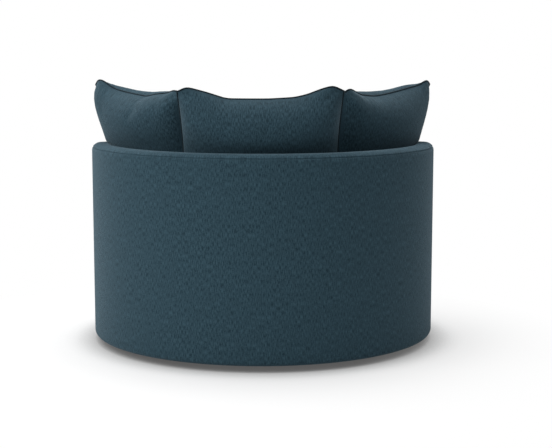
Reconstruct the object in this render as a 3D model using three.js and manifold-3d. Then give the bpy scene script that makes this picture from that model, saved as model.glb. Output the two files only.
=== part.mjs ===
// Round swivel cuddle chair, in millimetres, with +Z up.
// The origin is on the floor on the swivel axis. The sitter faces -Y and the back stands at +Y.
// Angles round the chair are measured from the middle of the back, towards the sitter's left (+X).

import * as THREE from 'three';
import { mergeVertices } from 'three/addons/utils/BufferGeometryUtils.js';
import Module from 'manifold-3d';

const wasm = await Module();
wasm.setup();

// Fits
const fitGap = 0.3;
const runningGap = 0.6;
const cushionWallGap = 6;
const cushionRestGap = 0.4;
const cutOverrun = 2;

// Tub, over its fabric
const tubRadius = 600;
const hemGap = 20;
const hemRounding = 15;
const hemTurnIn = 38;
const backHeight = 682;
const rimRise = 14;
const rimRounding = 28;
const rimSeamDrop = 18;
const wallThickness = 72;
const aroundSteps = 48;
const wallSteps = 34;
const armEndSteps = 8;

// Layers of the tub wall
const coverThickness = 2;
const waddingThickness = 10;
const panelThickness = 3;
const innerFoamThickness = 23;

// Timber frame of the tub
const skirtThickness = 16;
const skirtWidth = 52;
const baseBoardThickness = 18;
const seatRingTop = 244;
const seatRingThickness = 18;
const seatRingWidth = 114;
const topRailHeight = 60;
const frontRailHeight = 58;
const studWidth = 45;
const backStudSpacing = THREE.MathUtils.degToRad(36);
const armPostAngle = THREE.MathUtils.degToRad(102);
const frontPostInset = 4;
const frontRounding = 12;

// Seat springs and deck
const springCount = 5;
const springSpacing = 165;
const springWireRadius = 2;
const springPitch = 120;
const springSway = 30;
const springSnakeShare = 0.04;
const springArch = 9;
const springSides = 6;
const springStepsPerCurl = 8;
const springSeatInset = 22;
const clipLength = 18;
const clipWidth = 26;
const clipWall = 1.2;
const deckPadThickness = 10;
const dustCoverThickness = 1;
const dustCoverOverlap = 20;

// Floor base and turntable
const glideCount = 6;
const glideRadius = 15;
const glideHeight = 5;
const glideChamfer = 2;
const glideInset = 40;
const glideSteps = 12;
const floorDiscRadius = 380;
const floorDiscThickness = 15;
const ballCircleRadius = 220;
const ballRadius = 4;
const ballCount = 12;
const ballSteps = 6;
const ringNeck = 3.2;
const ringWallThickness = 9;
const ringFlangeWidth = 18;
const ringFlangeThickness = 3;
const ringBelowBalls = 5.5;
const grooveHalfMouth = 3.4;
const grooveDepth = 2;
const turntableSteps = 48;
const cageSteps = 24;
const cageThickness = 1.2;
const cageHeight = 7;
const screwCount = 3;
const screwHeadRadius = 4.5;
const screwHeadHeight = 2.4;
const screwShankRadius = 2.2;
const screwLength = 14;
const screwSides = 6;

// Seat cushion
const seatCushionHeight = 160;
const seatCushionCrown = 14;
const seatCushionWallGap = 4;
const seatCushionFrontInset = 8;
const seatCushionEdgeRounding = 9;
const seatEarRounding = 24;
const seatArmGap = 6;
const cushionCoverThickness = 2;
const zipSlitWidth = 5;
const undersideRingShare = 0.5;
const seatTopRingShares = [0.9, 0.66, 0.36];
const seatBackSteps = 16;
const seatFrontSteps = 8;
const seatEarSteps = 3;
const seatZipHalfSteps = 4;

// Back cushions, whose widths and places follow the seat's radius
const centreCushionHeight = 657;
const sideCushionHeight = 667;
const centreHalfWidthShare = 0.5114;
const sideHalfWidthShare = 0.5038;
const centreReachShare = 0.803;
const sideReachShare = 0.7884;
const sideCushionAround = THREE.MathUtils.degToRad(70.35);
const sideCushionTurn = THREE.MathUtils.degToRad(53);
const cushionTilt = THREE.MathUtils.degToRad(11);
const centreCushionForm = { halfHeight: 236, halfThickness: 84, bendRadius: 1250 };
const sideCushionForm = { halfHeight: 239, halfThickness: 84, bendRadius: 2400 };
const cushionSteps = 8;
const coverCornerSlack = 6;
const fillingGap = 0.6;
const fillingCornerSlack = 14;
const cornerPower = 5;
const cushionEdgePower = 0.62;
const topPullShare = 0.1;
const sidePullShare = 0.045;
const zipHalfSteps = 2;

// Radii of the wall's layers, worked out from the outside and from the inside
const stepAngle = 2 * Math.PI / aroundSteps;
const wallHalfAngle = wallSteps / 2 * stepAngle;
const seatRadius = tubRadius - wallThickness;
const waddingOuter = tubRadius - coverThickness - fitGap;
const panelOuter = waddingOuter - waddingThickness;
const frameOuter = panelOuter - panelThickness - fitGap;
const foamInner = seatRadius + coverThickness + fitGap;
const innerPanelInner = foamInner + innerFoamThickness + fitGap;
const frameInner = innerPanelInner + panelThickness + fitGap;

// A back cushion's sizes with its place: how far out it stands, how far round and how much it is turned
const cushionAt = (form, halfWidthShare, reachShare, around, turn, z) => ({
  ...form,
  halfWidth: halfWidthShare * seatRadius,
  x: reachShare * seatRadius * Math.sin(around),
  y: reachShare * seatRadius * Math.cos(around),
  z, turn, tilt: cushionTilt,
});
const centreCushion = cushionAt(centreCushionForm, centreHalfWidthShare, centreReachShare, 0, 0, centreCushionHeight);
const sideCushion = cushionAt(sideCushionForm, sideHalfWidthShare, sideReachShare, sideCushionAround,
  sideCushionTurn, sideCushionHeight);

// Levels, from the floor up
const floorDiscBottom = glideHeight + fitGap;
const turntableBottom = floorDiscBottom + floorDiscThickness + fitGap;
const skirtBottom = hemGap + coverThickness + fitGap;
const skirtTop = skirtBottom + skirtThickness;
const baseBoardBottom = skirtTop + fitGap;
const baseBoardTop = baseBoardBottom + baseBoardThickness;
const turntableTop = baseBoardBottom - fitGap;
const ballLevel = (turntableBottom + turntableTop) / 2;
const clipHeight = 2 * (clipWall + springWireRadius);
const springBase = seatRingTop + fitGap + clipHeight / 2;
const deckPadBottom = springBase + springArch + springWireRadius + fitGap;
const deckTop = deckPadBottom + deckPadThickness;
const seatCushionBottom = deckTop + fitGap;
const seatCushionTop = seatCushionBottom + seatCushionHeight;

// Colours and finishes
const finish = (color, roughness, metalness) => new THREE.MeshStandardMaterial({ color, roughness, metalness });
const fabric = finish(0x40606f, 0.9, 0);
const timber = finish(0xc19a63, 0.7, 0);
const fibreboard = finish(0xa58256, 0.8, 0);
const foam = finish(0xe8dcae, 0.95, 0);
const wadding = finish(0xeeeeea, 0.95, 0);
const springSteel = finish(0x8b8d90, 0.35, 1);
const aluminium = finish(0xb9bcc0, 0.4, 1);
const screwSteel = finish(0x9a9ca0, 0.35, 1);
const blackPlastic = finish(0x1d1d1f, 0.5, 0);
const blackCloth = finish(0x18181a, 0.95, 0);

// Closed meshes

// Merges shared corners, drops collapsed triangles and turns the faces outwards.
function closed(geometry) {
  const bare = new THREE.BufferGeometry();
  bare.setAttribute('position', geometry.getAttribute('position').clone());
  if (geometry.index) bare.setIndex(geometry.index.clone());
  const merged = mergeVertices(bare, 1e-3);
  const position = merged.getAttribute('position');
  const index = merged.index.array;
  const kept = [];
  let volume = 0;
  const [a, b, c] = [new THREE.Vector3(), new THREE.Vector3(), new THREE.Vector3()];
  for (let i = 0; i < index.length; i += 3) {
    const [p, q, r] = [index[i], index[i + 1], index[i + 2]];
    if (p === q || q === r || r === p) continue;
    kept.push([p, q, r]);
    a.fromBufferAttribute(position, p);
    b.fromBufferAttribute(position, q);
    c.fromBufferAttribute(position, r);
    volume += a.dot(b.cross(c));
  }
  merged.setIndex(kept.flatMap(([p, q, r]) => (volume < 0 ? [p, r, q] : [p, q, r])));
  return merged;
}

function meshFrom(points, faces) {
  const geometry = new THREE.BufferGeometry();
  geometry.setAttribute('position', new THREE.Float32BufferAttribute(points.flat(), 3));
  geometry.setIndex(faces.flat());
  return closed(geometry);
}

function piece(name, geometry, material) {
  const mesh = new THREE.Mesh(geometry, material);
  mesh.name = name;
  return mesh;
}

function asSolid(geometry) {
  const mesh = closed(geometry);
  return new wasm.Manifold(new wasm.Mesh({
    numProp: 3,
    vertProperties: new Float32Array(mesh.getAttribute('position').array),
    triVerts: new Uint32Array(mesh.index.array),
  }));
}

function asGeometry(solid) {
  const { vertProperties, triVerts } = solid.getMesh();
  const geometry = new THREE.BufferGeometry();
  geometry.setAttribute('position', new THREE.Float32BufferAttribute(vertProperties, 3));
  geometry.setIndex([...triVerts]);
  return closed(geometry);
}

const cutFrom = (body, cutters) =>
  asGeometry(cutters.reduce((rest, cutter) => rest.subtract(asSolid(cutter)), asSolid(body)));
const joinTo = (body, additions) =>
  asGeometry(additions.reduce((rest, addition) => rest.add(asSolid(addition)), asSolid(body)));

// Revolves a closed outline of [radius, height] points all the way round the Z axis.
function revolved(outline, steps = aroundSteps) {
  const points = [...outline, outline[0]].map(([r, z]) => new THREE.Vector2(r, z));
  return closed(new THREE.LatheGeometry(points, steps).rotateX(Math.PI / 2));
}

// Sweeps a closed outline of [radius, height] points round the Z axis through part of a turn.
// The outline may change with the angle, as the rim's height does.
function swept(outlineAt, from, to, steps) {
  const points = [];
  const faces = [];
  for (let j = 0; j <= steps; j++) {
    const angle = from + (to - from) * j / steps;
    points.push(...outlineAt(angle).map(([r, z]) => [r * Math.sin(angle), r * Math.cos(angle), z]));
  }
  const outline = outlineAt(from).map(([r, z]) => new THREE.Vector2(r, z));
  const count = outline.length;
  for (let j = 0; j < steps; j++) {
    for (let i = 0; i < count; i++) {
      const k = (i + 1) % count;
      const [here, there] = [j * count, (j + 1) * count];
      faces.push([here + i, here + k, there + k], [here + i, there + k, there + i]);
    }
  }
  const turn = Math.sign(THREE.ShapeUtils.area(outline));
  for (const [p, q, r] of THREE.ShapeUtils.triangulateShape(outline, [])) {
    const face = Math.sign(THREE.ShapeUtils.area([outline[p], outline[q], outline[r]])) === turn
      ? [p, q, r] : [p, r, q];
    faces.push([face[0], face[2], face[1]], face.map((v) => v + steps * count));
  }
  return meshFrom(points, faces);
}

// The tub's outlines

const crestAt = (angle) => backHeight + rimRise * (1 - Math.cos(angle));
const layerTopAt = (angle) => crestAt(angle) - rimRounding;
const seamAngle = Math.asin((rimRounding - rimSeamDrop) / rimRounding);
const rimArcAngles = [seamAngle, (seamAngle + Math.PI / 2) / 2, Math.PI / 2];
const hemArcAngles = [0, Math.PI / 4, Math.PI / 2];

const frontPostAngle = wallHalfAngle - (frontPostInset + studWidth / 2) / frameInner;
const postAngles = [
  ...[-2, -1, 0, 1, 2].map((i) => i * backStudSpacing), -armPostAngle, armPostAngle,
  -frontPostAngle, frontPostAngle,
];
const postNames = [
  'back_stud_1', 'back_stud_2', 'back_stud_3', 'back_stud_4', 'back_stud_5',
  'arm_post_right', 'arm_post_left', 'front_post_right', 'front_post_left',
];

// The hem's rounding at a depth under the surface, from the wall face down to the underside
function hemArc(depth) {
  return hemArcAngles.map((turn) => [
    tubRadius - hemRounding + (hemRounding - depth) * Math.cos(turn),
    hemGap + hemRounding - (hemRounding - depth) * Math.sin(turn),
  ]);
}

// The outer half of the rim's crest at a depth under the surface, from the seam up
function outerRimArc(depth, crest) {
  return rimArcAngles.map((turn) => [
    tubRadius - rimRounding + (rimRounding - depth) * Math.cos(turn),
    crest - rimRounding + (rimRounding - depth) * Math.sin(turn),
  ]);
}

// The inner half of the rim's crest at a depth under the surface, from the top down
function innerRimArc(depth, crest) {
  return [Math.PI / 2, Math.PI / 4, 0].map((turn) => [
    seatRadius + rimRounding - (rimRounding - depth) * Math.cos(turn),
    crest - rimRounding + (rimRounding - depth) * Math.sin(turn),
  ]);
}

const band = (pathAt, thickness) => [...pathAt(0), ...pathAt(thickness).reverse()];

function outsideCoverOutline(angle) {
  const crest = crestAt(angle);
  const seamTurn = seamAngle - fitGap / rimRounding;
  return band((depth) => [
    [tubRadius - rimRounding + (rimRounding - depth) * Math.cos(seamTurn),
      crest - rimRounding + (rimRounding - depth) * Math.sin(seamTurn)],
    [tubRadius - depth, crest - rimRounding],
    ...hemArc(depth),
    [tubRadius - hemTurnIn, hemGap + depth],
  ], coverThickness);
}

function insideCoverOutline(angle) {
  const crest = crestAt(angle);
  return band((depth) => [
    ...outerRimArc(depth, crest),
    ...innerRimArc(depth, crest),
    [seatRadius + depth, seatRingTop + fitGap],
  ], coverThickness);
}

function rimRollOutline(angle) {
  const crest = crestAt(angle);
  const depth = coverThickness + fitGap;
  return [
    [waddingOuter, layerTopAt(angle) + fitGap],
    ...outerRimArc(depth, crest),
    ...innerRimArc(depth, crest).slice(0, -1),
    [foamInner, layerTopAt(angle) + fitGap],
  ];
}

const frontTopArc = (depth) => [0, Math.PI / 4, Math.PI / 2].map((turn) => [
  tubRadius - frontRounding + (frontRounding - depth) * Math.cos(turn),
  deckTop - frontRounding + (frontRounding - depth) * Math.sin(turn),
]);

const frontCoverOutline = band((depth) => [
  [seatRadius, deckTop - depth],
  ...frontTopArc(depth).reverse(),
  ...hemArc(depth),
  [tubRadius - hemTurnIn, hemGap + depth],
], coverThickness);

const frontWaddingOutline = [
  [foamInner, seatRingTop + fitGap],
  [panelOuter + fitGap, seatRingTop + fitGap],
  [panelOuter + fitGap, baseBoardBottom],
  [waddingOuter, baseBoardBottom],
  ...frontTopArc(coverThickness + fitGap),
  [foamInner, deckTop - coverThickness - fitGap],
];

const box = (inner, outer, bottom, top) => [[inner, bottom], [outer, bottom], [outer, top], [inner, top]];

// Tub pieces

const wallPiece = (name, outlineAt, material) =>
  piece(name, swept(outlineAt, -wallHalfAngle, wallHalfAngle, wallSteps), material);

const frontFrom = wallHalfAngle + fitGap / seatRadius;
const frontPiece = (name, outline, material) =>
  piece(name, swept(() => outline, frontFrom, 2 * Math.PI - frontFrom, aroundSteps - wallSteps), material);

function wallPieces() {
  return [
    wallPiece('outer_panel', (angle) =>
      box(panelOuter - panelThickness, panelOuter, baseBoardBottom, layerTopAt(angle)), fibreboard),
    wallPiece('outer_wadding', (angle) =>
      box(panelOuter + fitGap, waddingOuter, baseBoardBottom, layerTopAt(angle)), wadding),
    wallPiece('inner_panel', (angle) =>
      box(innerPanelInner, innerPanelInner + panelThickness, seatRingTop + fitGap, layerTopAt(angle)),
    fibreboard),
    wallPiece('inner_foam', (angle) =>
      box(foamInner, innerPanelInner - fitGap, seatRingTop + fitGap, layerTopAt(angle)), foam),
    wallPiece('top_rail', (angle) =>
      box(frameInner, frameOuter, layerTopAt(angle) - topRailHeight, layerTopAt(angle)), timber),
    wallPiece('rim_roll', rimRollOutline, foam),
    wallPiece('outside_cover', outsideCoverOutline, fabric),
    wallPiece('inside_cover', insideCoverOutline, fabric),
  ];
}

function frontPieces() {
  const railTop = seatRingTop - seatRingThickness - fitGap;
  return [
    frontPiece('front_panel',
      box(panelOuter - panelThickness, panelOuter, baseBoardBottom, seatRingTop), fibreboard),
    frontPiece('front_wadding', frontWaddingOutline, wadding),
    frontPiece('front_cover', frontCoverOutline, fabric),
    frontPiece('front_rail', box(frameInner, frameOuter, railTop - frontRailHeight, railTop), timber),
  ];
}

// A half-round end for an arm: half the wall's section turned about the middle of the wall
function armEnd(outline, side) {
  const middle = tubRadius - wallThickness / 2;
  const half = swept(() => outline, -Math.PI / 2, Math.PI / 2, armEndSteps);
  const turned = half.rotateZ(-side * wallHalfAngle - side * Math.PI / 2);
  const [along, out] = [wallHalfAngle, fitGap];
  return closed(turned.translate(
    side * (middle * Math.sin(along) + out * Math.cos(along)),
    middle * Math.cos(along) - out * Math.sin(along), 0));
}

function armEndPath(depth) {
  const crest = crestAt(wallHalfAngle);
  const half = wallThickness / 2;
  return [
    [half - depth, deckTop + fitGap],
    ...[0, Math.PI / 4, Math.PI / 2].map((turn) => [
      half - rimRounding + (rimRounding - depth) * Math.cos(turn),
      crest - rimRounding + (rimRounding - depth) * Math.sin(turn),
    ]),
    [0, crest - depth],
  ];
}

function armEndPieces() {
  const foamDepth = coverThickness + fitGap;
  const foamOutline = [...armEndPath(foamDepth), [0, deckTop + fitGap]];
  return [['left', 1], ['right', -1]].flatMap(([name, side]) => [
    piece(`arm_end_foam_${name}`, armEnd(foamOutline, side), foam),
    piece(`arm_cover_${name}`, armEnd(band(armEndPath, coverThickness), side), fabric),
  ]);
}

// A post's outer face keeps clear of the flats of the panel round it
function postSection(clearance) {
  const flat = (panelOuter - panelThickness) * Math.cos(stepAngle / 2) - fitGap;
  const outer = Math.sqrt(flat ** 2 - (studWidth / 2) ** 2);
  return { inner: frameInner - clearance, outer: outer + clearance, width: studWidth + 2 * clearance };
}

function postGeometry(angle, bottom, top) {
  const { inner, outer, width } = postSection(0);
  return new THREE.BoxGeometry(width, outer - inner, top - bottom)
    .translate(0, (inner + outer) / 2, (bottom + top) / 2)
    .rotateZ(-angle);
}

// The cut in the seat ring's edge that a post stands in
function notchGeometry(angle) {
  const { inner, width } = postSection(fitGap);
  const outer = frameOuter + cutOverrun;
  return new THREE.BoxGeometry(width, outer - inner, seatRingThickness + 2 * cutOverrun)
    .translate(0, (inner + outer) / 2, seatRingTop - seatRingThickness / 2)
    .rotateZ(-angle);
}

function framePieces() {
  const halfPost = studWidth / 2 / frameInner;
  const posts = postAngles.map((angle, i) => {
    const railBottom = layerTopAt(Math.max(Math.abs(angle) - halfPost, 0)) - topRailHeight;
    return piece(postNames[i], closed(postGeometry(angle, baseBoardTop + fitGap, railBottom - fitGap)), timber);
  });
  const notches = postAngles.map((angle) => notchGeometry(angle));
  const seatRing = revolved(box(frameOuter - seatRingWidth, frameOuter,
    seatRingTop - seatRingThickness, seatRingTop));
  const screwHoles = screwPlaces(outerScrewCircle)
    .map(([x, y]) => screwHole(x, y, baseBoardBottom - cutOverrun, turntableTop + screwLength));
  return [
    ...posts,
    piece('seat_ring', cutFrom(seatRing, notches), timber),
    piece('base_board', cutFrom(revolved([[0, baseBoardBottom], [frameOuter, baseBoardBottom],
      [frameOuter, baseBoardTop], [0, baseBoardTop]]), screwHoles), timber),
    piece('skirt_ring', revolved([
      [waddingOuter - skirtWidth, skirtBottom],
      ...hemArc(coverThickness + fitGap).reverse(),
      [waddingOuter, skirtTop],
      [waddingOuter - skirtWidth, skirtTop],
    ]), timber),
  ];
}

// Seat springs: one wire that snakes from clip to clip over the deck's opening
class SnakingWire extends THREE.Curve {
  constructor(x, reach, curls) {
    super();
    Object.assign(this, { x, reach, curls });
  }

  getPoint(t) {
    const phase = 2 * Math.PI * this.curls * t;
    const pitch = 2 * this.reach / this.curls;
    return new THREE.Vector3(
      this.x + springSway * Math.sin(phase),
      (2 * t - 1) * this.reach - springSnakeShare * pitch * Math.sin(2 * phase),
      springBase + springArch * Math.sin(Math.PI * t));
  }
}

function springGeometry(x) {
  const seatOpening = frameOuter - seatRingWidth;
  const reach = Math.sqrt((seatOpening + springSeatInset) ** 2 - x ** 2);
  const curls = Math.round(2 * reach / springPitch);
  const section = new THREE.Shape(Array.from({ length: springSides }, (_, i) => {
    const turn = 2 * Math.PI * (i + 1 / 2) / springSides;
    return new THREE.Vector2(springWireRadius * Math.cos(turn), springWireRadius * Math.sin(turn));
  }));
  const wire = new THREE.ExtrudeGeometry(section, {
    steps: curls * springStepsPerCurl, extrudePath: new SnakingWire(x, reach, curls), bevelEnabled: false,
  });
  const clips = [-1, 1].map((side) =>
    new THREE.BoxGeometry(clipWidth, clipLength, clipHeight).translate(x, side * reach, springBase));
  return joinTo(wire, clips);
}

function seatPieces() {
  const springs = Array.from({ length: springCount }, (_, i) =>
    piece(`seat_spring_${i + 1}`, springGeometry((i - (springCount - 1) / 2) * springSpacing), springSteel));
  const deckRadius = seatRadius - fitGap;
  const dustOuter = waddingOuter - skirtWidth - fitGap;
  const dustInner = outerRingOuter + dustCoverOverlap;
  return [
    ...springs,
    piece('deck_pad', revolved([[0, deckPadBottom], [deckRadius, deckPadBottom],
      [deckRadius, deckTop], [0, deckTop]]), blackCloth),
    piece('dust_cover', revolved(
      box(dustInner, dustOuter, skirtTop - dustCoverThickness, skirtTop), aroundSteps / 2), blackCloth),
  ];
}

// Floor base and ball-bearing turntable

const innerRingOuter = ballCircleRadius - ringNeck;
const innerRingWall = innerRingOuter - ringWallThickness;
const outerRingInner = ballCircleRadius + ringNeck;
const outerRingWall = outerRingInner + ringWallThickness;
const outerRingOuter = outerRingWall + ringFlangeWidth;
const innerScrewCircle = innerRingWall - ringFlangeWidth / 2;
const outerScrewCircle = outerRingWall + ringFlangeWidth / 2;

function screwPlaces(circle) {
  return Array.from({ length: screwCount }, (_, i) => {
    const turn = 2 * Math.PI * (i + 1 / 2) / screwCount;
    return [circle * Math.sin(turn), circle * Math.cos(turn)];
  });
}

function screwHole(x, y, bottom, top) {
  return new THREE.CylinderGeometry(screwShankRadius + fitGap, screwShankRadius + fitGap,
    top - bottom, screwSides).rotateX(Math.PI / 2).translate(x, y, (bottom + top) / 2);
}

// A pan-head screw with its shank along -Z, its head's seat at the origin
function screwGeometry() {
  return revolved([
    [0, -screwLength], [screwShankRadius, -screwLength + screwShankRadius], [screwShankRadius, 0],
    [screwHeadRadius, 0], [screwHeadRadius, screwHeadHeight / 2], [screwHeadRadius / 2, screwHeadHeight],
    [0, screwHeadHeight],
  ], screwSides);
}

// The race ring's section, from its flange to the groove that the balls run in
function raceOutline(wall, face, flangeEdge, seat, up) {
  const towardsBalls = Math.sign(face - wall);
  const z = (height) => seat + up * height;
  const level = up * (ballLevel - seat);
  return [
    [flangeEdge, z(0)], [face, z(0)],
    [face, z(level - grooveHalfMouth)],
    [face - towardsBalls * grooveDepth, z(level)],
    [face, z(level + grooveHalfMouth)],
    [face, z(level + ringBelowBalls)], [wall, z(level + ringBelowBalls)],
    [wall, z(ringFlangeThickness)], [flangeEdge, z(ringFlangeThickness)],
  ];
}

function turntablePieces() {
  const flangeTop = turntableBottom + ringFlangeThickness;
  const flangeBottom = turntableTop - ringFlangeThickness;
  const innerHoles = screwPlaces(innerScrewCircle)
    .map(([x, y]) => screwHole(x, y, turntableBottom - cutOverrun, flangeTop + cutOverrun));
  const outerHoles = screwPlaces(outerScrewCircle)
    .map(([x, y]) => screwHole(x, y, flangeBottom - cutOverrun, turntableTop + cutOverrun));
  const innerRing = revolved(raceOutline(innerRingWall, innerRingOuter,
    innerRingWall - ringFlangeWidth, turntableBottom, 1), turntableSteps);
  const outerRing = revolved(raceOutline(outerRingWall, outerRingInner,
    outerRingOuter, turntableTop, -1), turntableSteps);
  const balls = Array.from({ length: ballCount }, (_, i) => {
    const turn = 2 * Math.PI * i / ballCount;
    return new THREE.SphereGeometry(ballRadius, ballSteps, ballSteps / 2 + 1)
      .translate(ballCircleRadius * Math.sin(turn), ballCircleRadius * Math.cos(turn), ballLevel);
  });
  const cage = revolved(box(ballCircleRadius - cageThickness / 2, ballCircleRadius + cageThickness / 2,
    ballLevel - cageHeight / 2, ballLevel + cageHeight / 2), cageSteps);
  return {
    floor: [
      piece('turntable_inner_ring', cutFrom(innerRing, innerHoles), aluminium),
      ...screwPlaces(innerScrewCircle).map(([x, y], i) => piece(`inner_ring_screw_${i + 1}`,
        closed(screwGeometry().translate(x, y, flangeTop + fitGap)), screwSteel)),
    ],
    cage: [piece('ball_cage', joinTo(cage, balls), springSteel)],
    tub: [
      piece('turntable_outer_ring', cutFrom(outerRing, outerHoles), aluminium),
      ...screwPlaces(outerScrewCircle).map(([x, y], i) => piece(`outer_ring_screw_${i + 1}`,
        closed(screwGeometry().rotateX(Math.PI).translate(x, y, flangeBottom - fitGap)), screwSteel)),
    ],
  };
}

function floorPieces() {
  const holes = screwPlaces(innerScrewCircle).map(([x, y]) => screwHole(x, y,
    turntableBottom + ringFlangeThickness - screwLength, turntableBottom + cutOverrun));
  const disc = revolved([[0, floorDiscBottom], [floorDiscRadius, floorDiscBottom],
    [floorDiscRadius, floorDiscBottom + floorDiscThickness], [0, floorDiscBottom + floorDiscThickness]]);
  const glides = Array.from({ length: glideCount }, (_, i) => {
    const turn = 2 * Math.PI * i / glideCount;
    const circle = floorDiscRadius - glideInset;
    return piece(`glide_${i + 1}`, closed(revolved([
      [0, 0], [glideRadius - glideChamfer, 0], [glideRadius, glideChamfer],
      [glideRadius, glideHeight], [0, glideHeight],
    ], glideSteps).translate(circle * Math.sin(turn), circle * Math.cos(turn), 0)), blackPlastic);
  });
  return [piece('floor_disc', cutFrom(disc, holes), timber), ...glides];
}

// Cushions

// Joins an outer skin and the same skin moved inwards at the edges of a slit,
// which leaves a cover that is open at its zip.
function slitCover(outer, inner, faces, isZip) {
  const kept = faces.filter((_, i) => !isZip(i));
  const removed = faces.filter((_, i) => isZip(i));
  const edges = removed.flatMap(([a, b, c]) => [[a, b], [b, c], [c, a]]);
  const shift = outer.length;
  const rim = edges.filter(([a, b]) => !edges.some(([p, q]) => p === b && q === a));
  return meshFrom([...outer, ...inner], [
    ...kept,
    ...kept.map(([a, b, c]) => [a + shift, c + shift, b + shift]),
    ...rim.flatMap(([a, b]) => [[a, b, b + shift], [a, b + shift, a + shift]]),
  ]);
}

// The seat cushion's plan: round inside the arms, with an ear in front of each arm
function seatPlan(inset) {
  const back = seatRadius - seatCushionWallGap - inset;
  const front = tubRadius - seatCushionFrontInset - inset;
  const armReach = (wallThickness / 2 + seatArmGap + inset) / seatRadius;
  const notch = wallHalfAngle + armReach;
  const earTurn = seatEarRounding / front;
  const at = (r, angle) => [r * Math.sin(angle), r * Math.cos(angle)];
  const backArc = Array.from({ length: seatBackSteps + 1 }, (_, i) =>
    at(back, -notch + 2 * notch * i / seatBackSteps));
  const leftEar = Array.from({ length: seatEarSteps + 1 }, (_, i) => {
    const turn = Math.PI / 2 * i / seatEarSteps;
    return at(front - seatEarRounding * (1 - Math.sin(turn)), notch + earTurn * (1 - Math.cos(turn)));
  });
  const rightEar = leftEar.map(([x, y]) => [-x, y]).reverse();
  const frontArc = Array.from({ length: seatFrontSteps - 1 }, (_, i) => {
    const from = notch + earTurn;
    return at(front, from + (2 * Math.PI - 2 * from) * (i + 1) / seatFrontSteps);
  });
  return [...backArc, ...leftEar, ...frontArc, ...rightEar];
}

const seatCrownAt = (share) => seatCushionCrown * (1 - share ** 2);

// Rings of points from the middle of the underside out, up the border and in over the crown
function seatSkin(inset) {
  const bottom = seatCushionBottom + inset;
  const top = seatCushionTop - inset;
  const rounding = seatCushionEdgeRounding;
  const ring = (plan, share, z) => plan.map(([x, y]) => [x * share, y * share, z]);
  const drawnIn = seatPlan(inset + rounding);
  const rings = [
    ring(drawnIn, undersideRingShare, bottom),
    ring(drawnIn, 1, bottom),
    ring(seatPlan(inset), 1, bottom + rounding),
    ring(seatPlan(inset), 1, bottom + rounding + zipSlitWidth),
    ring(seatPlan(inset), 1, top - rounding),
    ring(drawnIn, 1, top + seatCrownAt(1)),
    ...seatTopRingShares.map((share) => ring(drawnIn, share, top + seatCrownAt(share))),
  ];
  const around = rings[0].length;
  const points = [...rings.flat(), [0, 0, bottom], [0, 0, top + seatCrownAt(0)]];
  const [bottomPole, topPole] = [points.length - 2, points.length - 1];
  const faces = [];
  const last = rings.length - 1;
  for (let i = 0; i < around; i++) {
    const k = (i + 1) % around;
    faces.push([bottomPole, i, k], [topPole, last * around + k, last * around + i]);
  }
  for (let j = 0; j < last; j++) {
    for (let i = 0; i < around; i++) {
      const k = (i + 1) % around;
      const [low, high] = [j * around, (j + 1) * around];
      faces.push([low + i, high + k, low + k], [low + i, high + i, high + k]);
    }
  }
  const zipMiddle = seatBackSteps / 2;
  const ringsBelowZip = 2;
  const firstBorder = 2 * around * (1 + ringsBelowZip);
  const isZip = (face) => {
    const step = Math.floor((face - firstBorder) / 2);
    return face >= firstBorder && step >= zipMiddle - seatZipHalfSteps && step < zipMiddle + seatZipHalfSteps;
  };
  return { points, faces, isZip };
}

function seatCushionPieces() {
  const outer = seatSkin(0);
  const cover = slitCover(outer.points, seatSkin(cushionCoverThickness).points, outer.faces, outer.isZip);
  const core = seatSkin(cushionCoverThickness + fillingGap);
  return [
    piece('seat_cushion_cover', cover, fabric),
    piece('seat_cushion_core', meshFrom(core.points, core.faces), foam),
  ];
}

// A cushion's own axes: across its width, up its height and out towards the wall
function cushionAxes({ x, y, z, turn, tilt }) {
  const across = new THREE.Vector3(Math.cos(turn), -Math.sin(turn), 0);
  const outwards = new THREE.Vector3(Math.sin(turn), Math.cos(turn), 0);
  const upwards = new THREE.Vector3(0, 0, 1);
  const up = upwards.clone().multiplyScalar(Math.cos(tilt)).addScaledVector(outwards, Math.sin(tilt));
  const out = outwards.clone().multiplyScalar(Math.cos(tilt)).addScaledVector(upwards, -Math.sin(tilt));
  return { centre: new THREE.Vector3(x, y, z), across, up, out };
}

// Keeps a point off the tub's wall and its rounded rim
function offWall(point, clearance) {
  const radius = Math.hypot(point.x, point.y);
  const crest = crestAt(Math.atan2(point.x, point.y));
  const above = point.z - (crest - rimRounding);
  const reach = rimRounding + clearance;
  if (above >= reach || radius < seatRadius - clearance) return;
  const drawIn = above <= 0 ? reach : Math.sqrt(reach ** 2 - above ** 2);
  const limit = seatRadius + rimRounding - drawIn;
  if (radius <= limit) return;
  if (radius - limit > reach - above) {
    point.z += reach - above;
  } else {
    point.x *= limit / radius;
    point.y *= limit / radius;
  }
}

// Keeps a point above the crowned top of the seat cushion
function offSeat(point, clearance) {
  const share = Math.min(Math.hypot(point.x, point.y) / (seatRadius - seatCushionWallGap), 1);
  point.z = Math.max(point.z, seatCushionTop + seatCrownAt(share) + clearance);
}

// Keeps a point of a side cushion in front of the space that the centre cushion lifts through
function inFrontOfCentre(point, clearance) {
  const { centre, across, out } = cushionAxes(centreCushion);
  const from = point.clone().sub(centre);
  const share = from.dot(across) / centreCushion.halfWidth;
  if (Math.abs(share) > 1 + clearance / centreCushion.halfWidth) return;
  const swell = centreCushion.halfThickness * Math.max(1 - share ** 2, 0) ** cushionEdgePower;
  const bend = from.dot(across) ** 2 / 2 / centreCushion.bendRadius;
  const limit = -bend - swell - clearance;
  if (from.dot(out) > limit) point.addScaledVector(out, limit - from.dot(out));
}

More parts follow.
